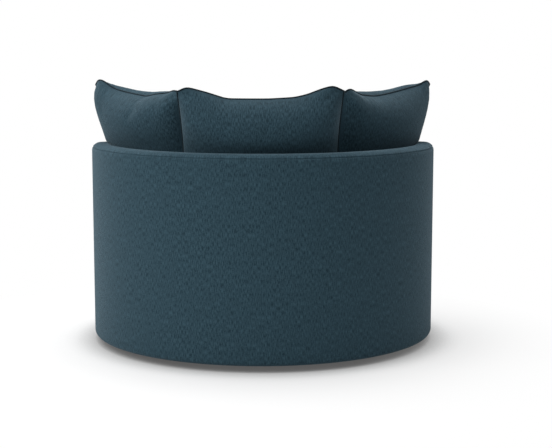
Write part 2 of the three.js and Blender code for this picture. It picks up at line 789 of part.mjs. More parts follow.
// A knife-edge cushion: two crowned faces that meet at a seam, drawn in between its corners.
// The corner slack is how far short of the seam's corners the skin stops.
function cushionSkin(size, isSide, cornerSlack = 0) {
  const { centre, across, up, out } = cushionAxes(size);
  const spaced = Array.from({ length: cushionSteps + 1 }, (_, i) => -Math.cos(Math.PI * i / cushionSteps));
  const rows = [spaced[0], spaced[0] + zipSlitWidth / size.halfHeight, ...spaced.slice(1)];
  const points = [];
  const place = (u, v, face) => {
    const short = cornerSlack * Math.abs(u * v) ** cornerPower;
    const sideways = u * (size.halfWidth - short) * (1 - sidePullShare * (1 - v ** 2));
    const height = v * (size.halfHeight - short) * (1 - topPullShare * (1 - u ** 2));
    const swell = Math.max((1 - u ** 2) * (1 - v ** 2), 0) ** cushionEdgePower;
    const depth = face * size.halfThickness * swell - sideways ** 2 / 2 / size.bendRadius;
    const point = centre.clone().addScaledVector(across, sideways)
      .addScaledVector(up, height).addScaledVector(out, depth);
    offWall(point, cushionWallGap);
    if (isSide) inFrontOfCentre(point, cushionRestGap + runningGap);
    offSeat(point, cushionRestGap);
    return point;
  };
  for (const face of [-1, 1]) {
    for (const v of rows) points.push(...spaced.map((u) => place(u, v, face)));
  }
  const columns = spaced.length;
  const sheet = rows.length * columns;
  const onSeam = points.map((_, i) => {
    const [row, column] = [Math.floor(i % sheet / columns), i % columns];
    return row === 0 || row === rows.length - 1 || column === 0 || column === columns - 1;
  });
  const shared = (i) => (onSeam[i] ? i % sheet : i);
  const faces = [];
  for (const side of [0, 1]) {
    for (let j = 0; j < rows.length - 1; j++) {
      for (let i = 0; i < columns - 1; i++) {
        const corner = side * sheet + j * columns + i;
        const quad = [corner, corner + 1, corner + columns + 1, corner + columns].map(shared);
        const towardsMiddle = i < (columns - 1) / 2 === j < rows.length / 2 ? quad : [...quad.slice(1), quad[0]];
        const [a, b, c, d] = side ? [towardsMiddle[0], ...towardsMiddle.slice(1).reverse()] : towardsMiddle;
        faces.push([a, b, c], [a, c, d]);
      }
    }
  }
  return { points, faces, columns };
}

// Moves each point of a skin inwards
function movedIn({ points, faces }, distance) {
  const normals = points.map(() => new THREE.Vector3());
  for (const [a, b, c] of faces) {
    const normal = points[b].clone().sub(points[a]).cross(points[c].clone().sub(points[a]));
    for (const corner of [a, b, c]) normals[corner].add(normal);
  }
  return points.map((point, i) => point.clone().addScaledVector(normals[i].normalize(), -distance));
}

const coordinates = (points) => points.map((point) => point.toArray());

function backCushionPieces(name, size, isSide) {
  const skin = cushionSkin(size, isSide);
  const inner = movedIn(cushionSkin(size, isSide, coverCornerSlack), cushionCoverThickness);
  const filling = movedIn(cushionSkin(size, isSide, fillingCornerSlack), cushionCoverThickness + fillingGap);
  const { faces } = skin;
  const half = faces.length / 2;
  const middle = (skin.columns - 1) / 2;
  const isZip = (face) => {
    const step = Math.floor((face - half) / 2);
    return face >= half && step >= middle - zipHalfSteps && step < middle + zipHalfSteps;
  };
  const mirrored = name.startsWith('right') ? -1 : 1;
  const placed = (geometry) => closed(geometry.scale(mirrored, 1, 1));
  return [
    piece(`${name}_cushion_cover`, placed(slitCover(coordinates(skin.points), coordinates(inner), faces, isZip)),
      fabric),
    piece(`${name}_cushion_filling`, placed(meshFrom(coordinates(filling), faces)), wadding),
  ];
}

// The chair

function group(name, pieces) {
  const set = new THREE.Group();
  set.name = name;
  set.add(...pieces);
  return set;
}

const turntable = turntablePieces();
const chair = new THREE.Group();
chair.add(
  group('floor_base', [...floorPieces(), ...turntable.floor]),
  group('ball_ring', turntable.cage),
  group('tub', [
    ...turntable.tub, ...framePieces(), ...seatPieces(), ...wallPieces(), ...frontPieces(), ...armEndPieces(),
  ]),
  group('seat_cushion', seatCushionPieces()),
  group('centre_cushion', backCushionPieces('centre', centreCushion, false)),
  group('left_cushion', backCushionPieces('left', sideCushion, true)),
  group('right_cushion', backCushionPieces('right', sideCushion, true)),
);

export default chair;
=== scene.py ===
"""Round swivel cuddle chair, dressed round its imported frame.

Metres, with the floor at z = 0 and the swivel axis at the origin. The sitter faces -Y.
Angles round the chair are measured from the middle of the back, towards the sitter's left (+X).
"""

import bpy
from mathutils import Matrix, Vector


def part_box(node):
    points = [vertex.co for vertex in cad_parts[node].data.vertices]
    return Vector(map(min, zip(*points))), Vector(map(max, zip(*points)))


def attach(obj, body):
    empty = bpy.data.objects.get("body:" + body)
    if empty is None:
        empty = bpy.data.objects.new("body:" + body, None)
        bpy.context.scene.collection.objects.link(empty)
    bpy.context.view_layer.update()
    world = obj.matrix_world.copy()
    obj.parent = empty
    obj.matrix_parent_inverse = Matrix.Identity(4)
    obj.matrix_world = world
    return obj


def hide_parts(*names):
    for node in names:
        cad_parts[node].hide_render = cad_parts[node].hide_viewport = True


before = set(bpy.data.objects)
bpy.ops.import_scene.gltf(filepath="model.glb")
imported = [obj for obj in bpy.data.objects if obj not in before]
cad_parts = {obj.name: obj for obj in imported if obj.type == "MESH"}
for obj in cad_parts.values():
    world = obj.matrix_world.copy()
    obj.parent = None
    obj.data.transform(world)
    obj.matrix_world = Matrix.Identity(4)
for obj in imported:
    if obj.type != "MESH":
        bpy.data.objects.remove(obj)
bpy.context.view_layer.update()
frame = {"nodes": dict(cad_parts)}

import logging
import math
from dataclasses import dataclass, field
from enum import Enum
from typing import Callable, Sequence

import bpy
import numpy as np
from mathutils import Vector, noise

LOG = logging.getLogger("cuddle_chair")
CLOTH_MAP = "cloth"
MERGE_DISTANCE = 1e-5
WEAVE_PITCH = 0.0011
SLUB_SHARE = 0.72
Point = tuple[float, float]
Place = tuple[float, float, float]
Colour = tuple[float, float, float]
Pieces = list[bpy.types.Object]


class Body(Enum):
    """The bodies that the frame moves."""

    TUB = "tub"
    SEAT = "seat_cushion"
    CENTRE = "centre_cushion"
    LEFT = "left_cushion"
    RIGHT = "right_cushion"


class Slot(Enum):
    """The material slots that new pieces stand for."""

    COVER = "cover_fabric"
    CUSHION = "cushion_fabric"
    BLACK_CLOTH = "black_cloth"


# Mesh tools


def deselect() -> None:
    """Deselects every object."""
    bpy.ops.object.select_all(action="DESELECT")


def activate(piece: bpy.types.Object) -> None:
    """Makes a piece the only selected one, and the active one.

    Args:
        piece: the object to work on.
    """
    deselect()
    piece.select_set(True)
    bpy.context.view_layer.objects.active = piece


def smooth(piece: bpy.types.Object, degrees: float = 40.0) -> None:
    """Shades a piece smooth, apart from edges sharper than an angle.

    Args:
        piece: the object to shade.
        degrees: the sharpest edge that still looks smooth.
    """
    activate(piece)
    bpy.ops.object.shade_smooth_by_angle(angle=math.radians(degrees))


def points_of(piece: bpy.types.Object) -> np.ndarray:
    """The places of a mesh's vertices.

    Args:
        piece: a mesh object.

    Returns:
        An array of x, y and z for each vertex.
    """
    places = np.empty(len(piece.data.vertices) * 3, np.float32)
    piece.data.vertices.foreach_get("co", places)
    return places.reshape(-1, 3).astype(float)


def move_points(piece: bpy.types.Object, places: np.ndarray) -> None:
    """Puts a mesh's vertices in new places.

    Args:
        piece: a mesh object.
        places: x, y and z for each vertex.
    """
    piece.data.vertices.foreach_set("co", places.astype(np.float32).ravel())
    piece.data.update()


def lay_cloth_map(piece: bpy.types.Object, spots: np.ndarray) -> None:
    """Gives a piece the UV map, in metres, that its weave follows.

    Args:
        piece: a mesh object.
        spots: u and v for each vertex.
    """
    for layer in list(piece.data.uv_layers):
        piece.data.uv_layers.remove(layer)
    layer = piece.data.uv_layers.new(name=CLOTH_MAP)
    corners = np.empty(len(piece.data.loops), np.int32)
    piece.data.loops.foreach_get("vertex_index", corners)
    layer.data.foreach_set("uv", spots[corners].astype(np.float32).ravel())


def mesh_piece(name: str, points: np.ndarray, faces: Sequence[Sequence[int]]) -> bpy.types.Object:
    """Makes an object from points and faces.

    Args:
        name: the piece's name.
        points: x, y and z for each vertex.
        faces: the vertices of each face.

    Returns:
        The new object.
    """
    mesh = bpy.data.meshes.new(name)
    mesh.from_pydata([tuple(point) for point in points], [], [tuple(face) for face in faces])
    mesh.validate()
    piece = bpy.data.objects.new(name, mesh)
    bpy.context.collection.objects.link(piece)
    return piece


def apply_modifier(piece: bpy.types.Object, kind: str, **settings: object) -> None:
    """Adds a modifier to a piece and applies it.

    Args:
        piece: a mesh object.
        kind: the modifier's type.
        settings: its values by name.
    """
    activate(piece)
    modifier = piece.modifiers.new(kind.title(), kind)
    for name, value in settings.items():
        setattr(modifier, name, value)
    bpy.ops.object.modifier_apply(modifier=modifier.name)


def crease(piece: bpy.types.Object, ring: Sequence[int]) -> None:
    """Creases the edges along a ring of vertices, so that subdividing keeps them sharp.

    Args:
        piece: a mesh object.
        ring: the vertices of the ring, in order.
    """
    pairs = {frozenset(pair) for pair in zip(ring, [*ring[1:], ring[0]])}
    sharp = [1.0 if frozenset(edge.vertices) in pairs else 0.0 for edge in piece.data.edges]
    piece.data.attributes.new("crease_edge", "FLOAT", "EDGE").data.foreach_set("value", sharp)


def mend(piece: bpy.types.Object, merge: float = 0.0) -> None:
    """Merges vertices that lie together, where a distance is given, and turns all faces outwards.

    Args:
        piece: a mesh object.
        merge: how far apart merged vertices may lie.
    """
    activate(piece)
    bpy.ops.object.mode_set(mode="EDIT")
    bpy.ops.mesh.select_all(action="SELECT")
    if merge:
        bpy.ops.mesh.remove_doubles(threshold=merge)
    bpy.ops.mesh.normals_make_consistent(inside=False)
    bpy.ops.object.mode_set(mode="OBJECT")


def soften(piece: bpy.types.Object, chosen: Sequence[int], times: int, **settings: object) -> None:
    """Smooths some of a piece's vertices.

    Args:
        piece: a mesh object.
        chosen: the vertices that may move.
        times: how often they are smoothed.
        settings: other values of the Smooth modifier.
    """
    piece.vertex_groups.new(name="chosen").add(list(chosen), 1.0, "REPLACE")
    apply_modifier(piece, "SMOOTH", factor=0.5, iterations=times, vertex_group="chosen", **settings)
    piece.vertex_groups.clear()


def run_lengths(path: np.ndarray) -> np.ndarray:
    """How far along a path each of its points lies.

    Args:
        path: the points, in order.

    Returns:
        A length for each point, from zero.
    """
    return np.concatenate([[0], np.cumsum(np.linalg.norm(np.diff(path, axis=0), axis=1))])


def ring_faces(rings: int, count: int, closed: bool = False) -> list[tuple[int, ...]]:
    """The four-sided faces between rings of vertices.

    Args:
        rings: the number of rings.
        count: the number of vertices in each.
        closed: whether the last ring is joined to the first.

    Returns:
        The vertices of each face.
    """
    faces = []
    for j in range(rings if closed else rings - 1):
        first, second = j * count, (j + 1) % rings * count
        for i in range(count):
            k = (i + 1) % count
            faces.append((first + i, first + k, second + k, second + i))
    return faces


def install(piece: bpy.types.Object, body: Body, slot: Slot, *replaced: str) -> None:
    """Hangs a new piece on a body of the frame.

    Args:
        piece: the object.
        body: the body that it moves with.
        slot: the material slot that it stands for; not used.
        replaced: the frame's nodes that it takes the place of.
    """
    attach(piece, body.value)
    if replaced:
        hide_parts(*replaced)


def spin_outline(name: str, outline: Sequence[Point], start: float, end: float,
                 steps: int) -> bpy.types.Object:
    """Spins a closed outline round the swivel axis, and closes its ends where the turn isn't a whole one.

    The distance along the outline stays on the mesh as the attribute "along".

    Args:
        name: the piece's name.
        outline: (radius, height) points, once round.
        start: the angle of the first outline.
        end: the angle of the last outline.
        steps: the number of steps between them.

    Returns:
        The new object.
    """
    deselect()
    bpy.ops.mesh.primitive_circle_add(vertices=len(outline), radius=1, calc_uvs=False)
    piece = bpy.context.object
    piece.name = piece.data.name = name
    along = piece.data.attributes.new("along", "FLOAT", "POINT")
    along.data.foreach_set("value", list(run_lengths(np.array(outline))))
    move_points(piece, np.array([(r * math.sin(start), r * math.cos(start), z) for r, z in outline]))
    whole = math.isclose(end - start, 2 * math.pi)
    bpy.ops.object.mode_set(mode="EDIT")
    bpy.ops.mesh.select_all(action="SELECT")
    bpy.ops.mesh.spin(steps=steps, angle=end - start, center=(0, 0, 0), axis=(0, 0, 1))
    if not whole:
        bpy.ops.mesh.select_all(action="SELECT")
        bpy.ops.mesh.fill_holes(sides=0)
    bpy.ops.object.mode_set(mode="OBJECT")
    mend(piece, MERGE_DISTANCE if whole else 0.0)
    return piece


def along_of(piece: bpy.types.Object) -> np.ndarray:
    """The distance along the spun outline at each vertex.

    Args:
        piece: an object that spin_outline made.

    Returns:
        One length for each vertex.
    """
    values = np.empty(len(piece.data.vertices), np.float32)
    piece.data.attributes["along"].data.foreach_get("value", values)
    return values.astype(float)


def spot(middle: Point, radius: float, degrees: float) -> Point:
    """A point on a circle in an outline.

    Args:
        middle: the circle's centre.
        radius: its radius.
        degrees: the point's angle, from outwards towards up.

    Returns:
        The point.
    """
    turn = math.radians(degrees)
    return middle[0] + radius * math.cos(turn), middle[1] + radius * math.sin(turn)


def arc(middle: Point, radius: float, start: float, end: float, steps: int) -> list[Point]:
    """Points on an arc in an outline.

    Args:
        middle: the arc's centre.
        radius: its radius.
        start: its first angle, in degrees from outwards towards up.
        end: its last angle.
        steps: the number of steps.

    Returns:
        steps + 1 points.
    """
    return [spot(middle, radius, start + (end - start) * i / steps) for i in range(steps + 1)]


def line(start: Point, end: Point, steps: int) -> list[Point]:
    """Points on a straight run of an outline, without its first and last.

    Args:
        start: where the run starts.
        end: where it ends.
        steps: the number of steps.

    Returns:
        steps - 1 points.
    """
    return [tuple(a + (b - a) * i / steps for a, b in zip(start, end)) for i in range(1, steps)]


def tube(name: str, path: np.ndarray, radius: float, sides: int = 8) -> bpy.types.Object:
    """Makes a closed ring of round cord that follows a path.

    Args:
        name: the piece's name.
        path: the points that its middle runs through, once round.
        radius: the cord's radius.
        sides: the number of sides of its section.

    Returns:
        The new object, with its cloth map.
    """
    count = len(path)
    tangents = np.roll(path, -1, axis=0) - np.roll(path, 1, axis=0)
    tangents /= np.linalg.norm(tangents, axis=1)[:, None]
    inwards = path.mean(axis=0) - path
    inwards -= (inwards * tangents).sum(axis=1)[:, None] * tangents
    inwards /= np.linalg.norm(inwards, axis=1)[:, None]
    across = np.cross(tangents, inwards)
    turns = np.arange(sides) * 2 * math.pi / sides
    rings = (path[:, None, :]
             + radius * np.cos(turns)[None, :, None] * inwards[:, None, :]
             + radius * np.sin(turns)[None, :, None] * across[:, None, :])
    piece = mesh_piece(name, rings.reshape(-1, 3), ring_faces(count, sides, closed=True))
    spots = np.stack([np.tile(turns * radius, count), np.repeat(run_lengths(path), sides)], axis=1)
    lay_cloth_map(piece, spots)
    mend(piece)
    smooth(piece)
    return piece


# Finishes


class NodeTree:
    """A node tree that is wired by short calls."""

    def __init__(self, tree: bpy.types.NodeTree) -> None:
        """Takes the tree to add nodes to."""
        self.tree = tree

    def feed(self, node: bpy.types.Node, inputs: dict) -> None:
        """Links or sets a node's inputs.

        Args:
            node: the node.
            inputs: a socket or a value for each input, by name or number.
        """
        for name, value in inputs.items():
            if isinstance(value, bpy.types.NodeSocket):
                self.tree.links.new(value, node.inputs[name])
            else:
                node.inputs[name].default_value = value

    def node(self, kind: str, inputs: dict | None = None, **settings: object) -> bpy.types.Node:
        """Adds a node.

        Args:
            kind: the node's type.
            inputs: values or sockets for its inputs, by name or number.
            settings: the node's own settings.

        Returns:
            The node.
        """
        node = self.tree.nodes.new(kind)
        for name, value in settings.items():
            setattr(node, name, value)
        self.feed(node, inputs or {})
        return node

    def group(self, group: bpy.types.ShaderNodeTree, **inputs: object) -> bpy.types.Node:
        """Places a node group with its own values."""
        return self.node("ShaderNodeGroup", inputs, node_tree=group)

    def object_place(self) -> bpy.types.NodeSocket:
        """The place on the piece, in metres."""
        return self.node("ShaderNodeTexCoord").outputs["Object"]

    def math(self, operation: str, *values: object) -> bpy.types.NodeSocket:
        """Adds a Math node and returns its result."""
        made = self.node("ShaderNodeMath", dict(enumerate(values)), operation=operation)
        return made.outputs[0]

    def noise(self, vector: object, scale: object, detail: float = 2.0,
              roughness: float = 0.5) -> bpy.types.NodeSocket:
        """Adds a Noise Texture.

        Args:
            vector: the socket that gives the place.
            scale: the number of lumps in a metre.
            detail: the number of finer layers.
            roughness: how strong the finer layers are.

        Returns:
            Its factor.
        """
        inputs = {"Vector": vector, "Scale": scale, "Detail": detail, "Roughness": roughness}
        return self.node("ShaderNodeTexNoise", inputs).outputs["Fac"]

    def stretched(self, vector: object, scale: Place) -> bpy.types.NodeSocket:
        """Adds a Mapping node that scales a vector and returns the result."""
        return self.node("ShaderNodeMapping", {"Vector": vector, "Scale": scale}).outputs[0]

    def spread(self, value: object, low: float, high: float, to_low: float = 0.0,
               to_high: float = 1.0) -> bpy.types.NodeSocket:
        """Adds a Map Range node.

        Args:
            value: the socket to spread.
            low: the value that gives to_low.
            high: the value that gives to_high.
            to_low: the result at low.
            to_high: the result at high.

        Returns:
            Its result.
        """
        inputs = {"Value": value, "From Min": low, "From Max": high, "To Min": to_low, "To Max": to_high}
        return self.node("ShaderNodeMapRange", inputs).outputs[0]

    def blend(self, share: object, first: object, second: object) -> bpy.types.NodeSocket:
        """Adds a colour Mix node and returns its colour."""
        return self.node("ShaderNodeMix", {0: share, 6: first, 7: second}, data_type="RGBA").outputs[2]

    def dimmed(self, colour: object, share: object) -> bpy.types.NodeSocket:
        """Adds a Vector Math node that scales a colour and returns the result."""
        return self.node("ShaderNodeVectorMath", {0: colour, 3: share}, operation="SCALE").outputs[0]


def rgba(colour: Colour, share: float = 1.0, lift: float = 0.0) -> tuple[float, ...]:
    """A colour with full alpha, made darker or paler.

    Args:
        colour: the linear colour.
        share: what it is multiplied by.
        lift: what is added to it.

    Returns:
        Red, green, blue and alpha.
    """
    return (*(share * c + lift for c in colour), 1.0)


def linear(red: int, green: int, blue: int) -> Colour:
    """A screen colour as linear light.

    Args:
        red: 0 to 255.
        green: 0 to 255.
        blue: 0 to 255.

    Returns:
        The linear colour.
    """
    screen = [c / 255 for c in (red, green, blue)]
    return tuple(c / 12.92 if c <= 10 / 255 else ((c + 0.055) / 1.055) ** 2.4 for c in screen)


def group_of(name: str, inputs: dict[str, float | None], outputs: Sequence[str],
             fill: Callable[[NodeTree, bpy.types.Node], dict]) -> bpy.types.ShaderNodeTree:
    """Builds a shader node group once.

    Args:
        name: the group's name.
        inputs: each input's value, or None for a vector.
        outputs: the names of its outputs.
        fill: wires the group and returns a socket for each output.

    Returns:
        The group.
    """
    if name in bpy.data.node_groups:
        return bpy.data.node_groups[name]
    group = bpy.data.node_groups.new(name, "ShaderNodeTree")
    for label, value in inputs.items():
        kind = "NodeSocketVector" if value is None else "NodeSocketFloat"
        socket = group.interface.new_socket(name=label, in_out="INPUT", socket_type=kind)
        if value is not None:
            socket.default_value = value
    for label in outputs:
        group.interface.new_socket(name=label, in_out="OUTPUT", socket_type="NodeSocketFloat")
    tree = NodeTree(group)
    given = group.nodes.new("NodeGroupInput")
    result = group.nodes.new("NodeGroupOutput")
    for label, socket in fill(tree, given).items():
        group.links.new(socket, result.inputs[label])
    return group


def wire_weave(tree: NodeTree, given: bpy.types.Node) -> dict:
    """Wires the weave: threads over and under, slubs both ways, and a slow mottle.

    Args:
        tree: the group's tree.
        given: the node of its inputs.

    Returns:
        A socket for each output.
    """
    place, slub = given.outputs["Place"], given.outputs["Slub"]
    split = tree.node("ShaderNodeSeparateXYZ", {0: place})
    per_metre = tree.math("DIVIDE", math.pi, given.outputs["Pitch"])
    warp = tree.math("SINE", tree.math("MULTIPLY", split.outputs[0], per_metre))
    weft = tree.math("SINE", tree.math("MULTIPLY", split.outputs[1], per_metre))
    on_top = tree.math("GREATER_THAN", tree.math("MULTIPLY", warp, weft), 0.0)
    threads = {0: on_top, 2: tree.math("ABSOLUTE", warp), 3: tree.math("ABSOLUTE", weft)}
    height = tree.node("ShaderNodeMix", threads, data_type="FLOAT").outputs[0]
    upright = tree.noise(tree.stretched(place, (400.0, 70.0, 1.0)), 1.0, 2.0, 0.5)
    lying = tree.noise(tree.stretched(place, (120.0, 420.0, 1.0)), 1.0, 2.0, 0.6)
    fine = tree.noise(place, 620.0, 2.0, 0.7)
    slubs = tree.math("MULTIPLY", slub, upright)
    others = tree.math("MULTIPLY", tree.math("SUBTRACT", 1.0, slub), lying)
    coarse = tree.math("MULTIPLY", tree.math("ADD", slubs, others), 0.8)
    tone = tree.math("ADD", coarse, tree.math("MULTIPLY", fine, 0.2))
    return {
        "Tone": tree.spread(tone, 0.41, 0.59),
        "Height": tree.math("ADD", tree.math("MULTIPLY", height, 0.6), tree.math("MULTIPLY", tone, 0.8)),
        "Mottle": tree.noise(place, 26.0, 3.0, 0.55),
    }


def weave_group() -> bpy.types.ShaderNodeTree:
    """The plain weave with slubbed, two-tone threads that all the upholstery shares."""
    inputs = {"Place": None, "Pitch": WEAVE_PITCH, "Slub": SLUB_SHARE}
    return group_of("weave", inputs, ("Tone", "Height", "Mottle"), wire_weave)


def wire_grain(tree: NodeTree, given: bpy.types.Node) -> dict:
    """Wires the grain: bent rings with fine pores between them.

    Args:
        tree: the group's tree.
        given: the node of its inputs.

    Returns:
        A socket for each output.
    """
    place = given.outputs["Place"]
    bent = tree.noise(tree.stretched(place, (2.0, 14.0, 14.0)), 1.0, 3.0)
    rings = tree.math("SINE", tree.math("MULTIPLY", bent, given.outputs["Rings"]))
    pores = tree.noise(tree.stretched(place, (40.0, 900.0, 900.0)), 1.0, 2.0, 0.7)
    return {"Grain": tree.spread(rings, -1.0, 1.0), "Pores": pores}


def grain_group() -> bpy.types.ShaderNodeTree:
    """Wood grain that runs along X."""
    return group_of("grain", {"Place": None, "Rings": 60.0}, ("Grain", "Pores"), wire_grain)


def wire_wear(tree: NodeTree, given: bpy.types.Node) -> dict:
    """Wires the wear: brushed lines round the piece, and marks of handling.

    Args:
        tree: the group's tree.
        given: the node of its inputs.

    Returns:
        A socket for each output.
    """
    place = given.outputs["Place"]
    brushing = tree.noise(tree.stretched(place, (60.0, 60.0, 2400.0)), 1.0, 2.0, 0.6)
    marks = tree.noise(place, given.outputs["Scale"], 4.0, 0.6)
    return {"Brushing": brushing, "Marks": tree.spread(marks, 0.35, 0.7)}


def wear_group() -> bpy.types.ShaderNodeTree:
    """Fine brushing and faint handling marks on plain metal and plastic."""
    return group_of("wear", {"Place": None, "Scale": 90.0}, ("Brushing", "Marks"), wire_wear)


@dataclass(frozen=True)
class Finish:
    """What every finish has: a name, and a way to make its material once."""

    name: str

    def material(self) -> bpy.types.Material:
        """The material, made the first time that it is asked for.

        Returns:
            The material.
        """
        label = f"{self.name}_finish"
        if label in bpy.data.materials:
            return bpy.data.materials[label]
        made = bpy.data.materials.new(label)
        made.use_nodes = True
        tree = NodeTree(made.node_tree)
        self.wire(tree, made.node_tree.nodes["Principled BSDF"])
        return made

    def wire(self, tree: NodeTree, shader: bpy.types.Node) -> None:
        """Wires the material's own nodes.

        Args:
            tree: the material's tree.
            shader: its Principled BSDF.
        """

    def paint(self, *pieces: bpy.types.Object) -> None:
        """Puts the finish on pieces.

        Args:
            pieces: mesh objects.
        """
        for piece in pieces:
            piece.data.materials.clear()
            piece.data.materials.append(self.material())


def bump(tree: NodeTree, shader: bpy.types.Node, height: object, distance: float,
         strength: float = 1.0) -> None:
    """Feeds a height to a shader's normal.

    Args:
        tree: the material's tree.
        shader: its Principled BSDF.
        height: the socket that gives the height.
        distance: the height of a full step, in metres.
        strength: how much of it shows.
    """
    made = tree.node("ShaderNodeBump", {"Height": height, "Distance": distance, "Strength": strength})
    tree.feed(shader, {"Normal": made.outputs[0]})


@dataclass(frozen=True)
class WovenFabric(Finish):
    """A woven upholstery fabric of dark and light threads."""

    dark: Colour
    light: Colour
    slub: float = SLUB_SHARE
    pitch: float = WEAVE_PITCH
    thread_height: float = 0.0004
    mottling: float = 0.045
    sheen: float = 0.18
    sheen_tint: Colour = (0.62, 0.82, 0.95)

    def wire(self, tree: NodeTree, shader: bpy.types.Node) -> None:
        """Wires the fabric.

        Args:
            tree: the material's tree.
            shader: its Principled BSDF.
        """
        place = tree.node("ShaderNodeUVMap", uv_map=CLOTH_MAP).outputs[0]
        weave = tree.group(weave_group(), Place=place, Pitch=self.pitch, Slub=self.slub)
        tone = weave.outputs["Tone"]
        shade = tree.spread(weave.outputs["Mottle"], 0.3, 0.7, 1 - self.mottling, 1 + self.mottling)
        tree.feed(shader, {
            "Base Color": tree.dimmed(tree.blend(tone, rgba(self.dark), rgba(self.light)), shade),
            "Roughness": tree.spread(tone, 0.0, 1.0, 0.96, 0.86),
            "Specular IOR Level": 0.1,
            "Sheen Weight": self.sheen,
            "Sheen Roughness": 0.45,
            "Sheen Tint": rgba(self.sheen_tint),
        })
        bump(tree, shader, weave.outputs["Height"], self.thread_height, 0.5)


@dataclass(frozen=True)
class BondedCloth(Finish):
    """A thin non-woven cloth with pressed dots."""

    colour: Colour
    dots: float = 420.0
    dot_depth: float = 0.0003

    def wire(self, tree: NodeTree, shader: bpy.types.Node) -> None:
        """Wires the cloth.

        Args:
            tree: the material's tree.
            shader: its Principled BSDF.
        """
        place = tree.object_place()
        pressed = tree.node("ShaderNodeTexVoronoi", {"Vector": place, "Scale": self.dots}).outputs["Distance"]
        fibres = tree.noise(place, 900.0, 3.0, 0.7)
        tree.feed(shader, {
            "Base Color": tree.blend(fibres, rgba(self.colour, 0.6), rgba(self.colour, 1.5)),
            "Roughness": tree.spread(pressed, 0.0, 0.6, 0.75, 0.95),
            "Specular IOR Level": 0.3,
        })
        bump(tree, shader, pressed, self.dot_depth, 0.6)


@dataclass(frozen=True)
class Timber(Finish):
    """Plain timber or plywood."""

    dark: Colour
    light: Colour
    rings: float = 60.0
    pore_depth: float = 0.0002

    def wire(self, tree: NodeTree, shader: bpy.types.Node) -> None:
        """Wires the timber.

        Args:
            tree: the material's tree.
            shader: its Principled BSDF.
        """
        wood = tree.group(grain_group(), Place=tree.object_place(), Rings=self.rings)
        grain, pores = wood.outputs["Grain"], wood.outputs["Pores"]
        base = tree.blend(grain, rgba(self.dark), rgba(self.light))
        tree.feed(shader, {
            "Base Color": tree.dimmed(base, tree.spread(pores, 0.35, 0.65, 0.82, 1.05)),
            "Roughness": tree.spread(grain, 0.0, 1.0, 0.72, 0.58),
        })
        bump(tree, shader, pores, self.pore_depth, 0.5)


@dataclass(frozen=True)
class PressedBoard(Finish):
    """Thin fibreboard."""

    colour: Colour
    fleck_height: float = 0.0002

    def wire(self, tree: NodeTree, shader: bpy.types.Node) -> None:
        """Wires the board.

        Args:
            tree: the material's tree.
            shader: its Principled BSDF.
        """
        flecks = tree.noise(tree.object_place(), 320.0, 4.0, 0.7)
        tree.feed(shader, {
            "Base Color": tree.blend(flecks, rgba(self.colour, 0.72), rgba(self.colour)),
            "Roughness": tree.spread(flecks, 0.3, 0.7, 0.85, 0.7),
        })
        bump(tree, shader, flecks, self.fleck_height, 0.4)


@dataclass(frozen=True)
class Metal(Finish):
    """Plain metal with fine brushing."""

    colour: Colour
    roughness: float
    scale: float = 90.0
    brush_depth: float = 0.00003

    def wire(self, tree: NodeTree, shader: bpy.types.Node) -> None:
        """Wires the metal.

        Args:
            tree: the material's tree.
            shader: its Principled BSDF.
        """
        wear = tree.group(wear_group(), Place=tree.object_place(), Scale=self.scale)
        marks = wear.outputs["Marks"]
        tree.feed(shader, {
            "Base Color": tree.blend(marks, rgba(self.colour), rgba(self.colour, 0.8)),
            "Metallic": 1.0,
            "Roughness": tree.spread(marks, 0.0, 1.0, self.roughness, self.roughness + 0.15),
        })
        bump(tree, shader, wear.outputs["Brushing"], self.brush_depth, 0.4)


@dataclass(frozen=True)
class MouldedPlastic(Finish):
    """Moulded plastic with a fine spark texture."""

    colour: Colour
    spark_depth: float = 0.00005

    def wire(self, tree: NodeTree, shader: bpy.types.Node) -> None:
        """Wires the plastic.

        Args:
            tree: the material's tree.
            shader: its Principled BSDF.
        """
        place = tree.object_place()
        marks = tree.group(wear_group(), Place=place, Scale=140.0).outputs["Marks"]
        tree.feed(shader, {
            "Base Color": tree.blend(marks, rgba(self.colour), rgba(self.colour, 1.6, 0.01)),
            "Roughness": tree.spread(marks, 0.0, 1.0, 0.5, 0.65),
        })
        bump(tree, shader, tree.noise(place, 2200.0, 2.0), self.spark_depth, 0.5)


COVER_FABRIC = WovenFabric("cover_fabric", linear(27, 46, 55), linear(52, 76, 87))
# Painted shade: the cushions' fabric is the cover fabric made about 8% darker, because the lamps light the
# cushions' upturned faces more than the walls.
SHADED_CUSHION_FABRIC = WovenFabric("cushion_fabric", linear(25, 43, 51), linear(48, 71, 82))
# Painted shade: the self-piping is the cushion fabric painted far darker, standing for the shade in the
# creases along both sides of each seam.
SHADED_PIPING_FABRIC = WovenFabric("shaded_piping_fabric", linear(9, 17, 22), linear(20, 33, 39), slub=0.4, sheen=0.12)
BLACK_CLOTH = BondedCloth("black_cloth", linear(34, 34, 36))
TIMBER = Timber("timber", linear(176, 138, 92), linear(206, 172, 124))
PLYWOOD = Timber("plywood", linear(186, 150, 104), linear(212, 182, 138), rings=34.0)
FIBREBOARD = PressedBoard("fibreboard", linear(168, 132, 90))
SPRING_STEEL = Metal("spring_steel", linear(150, 150, 152), 0.32)
ALUMINIUM = Metal("aluminium", linear(205, 207, 210), 0.36)
ZINC = Metal("zinc", linear(176, 178, 182), 0.3, 300.0)
BLACK_PLASTIC = MouldedPlastic("black_plastic", linear(30, 30, 31))


# Upholstered tub


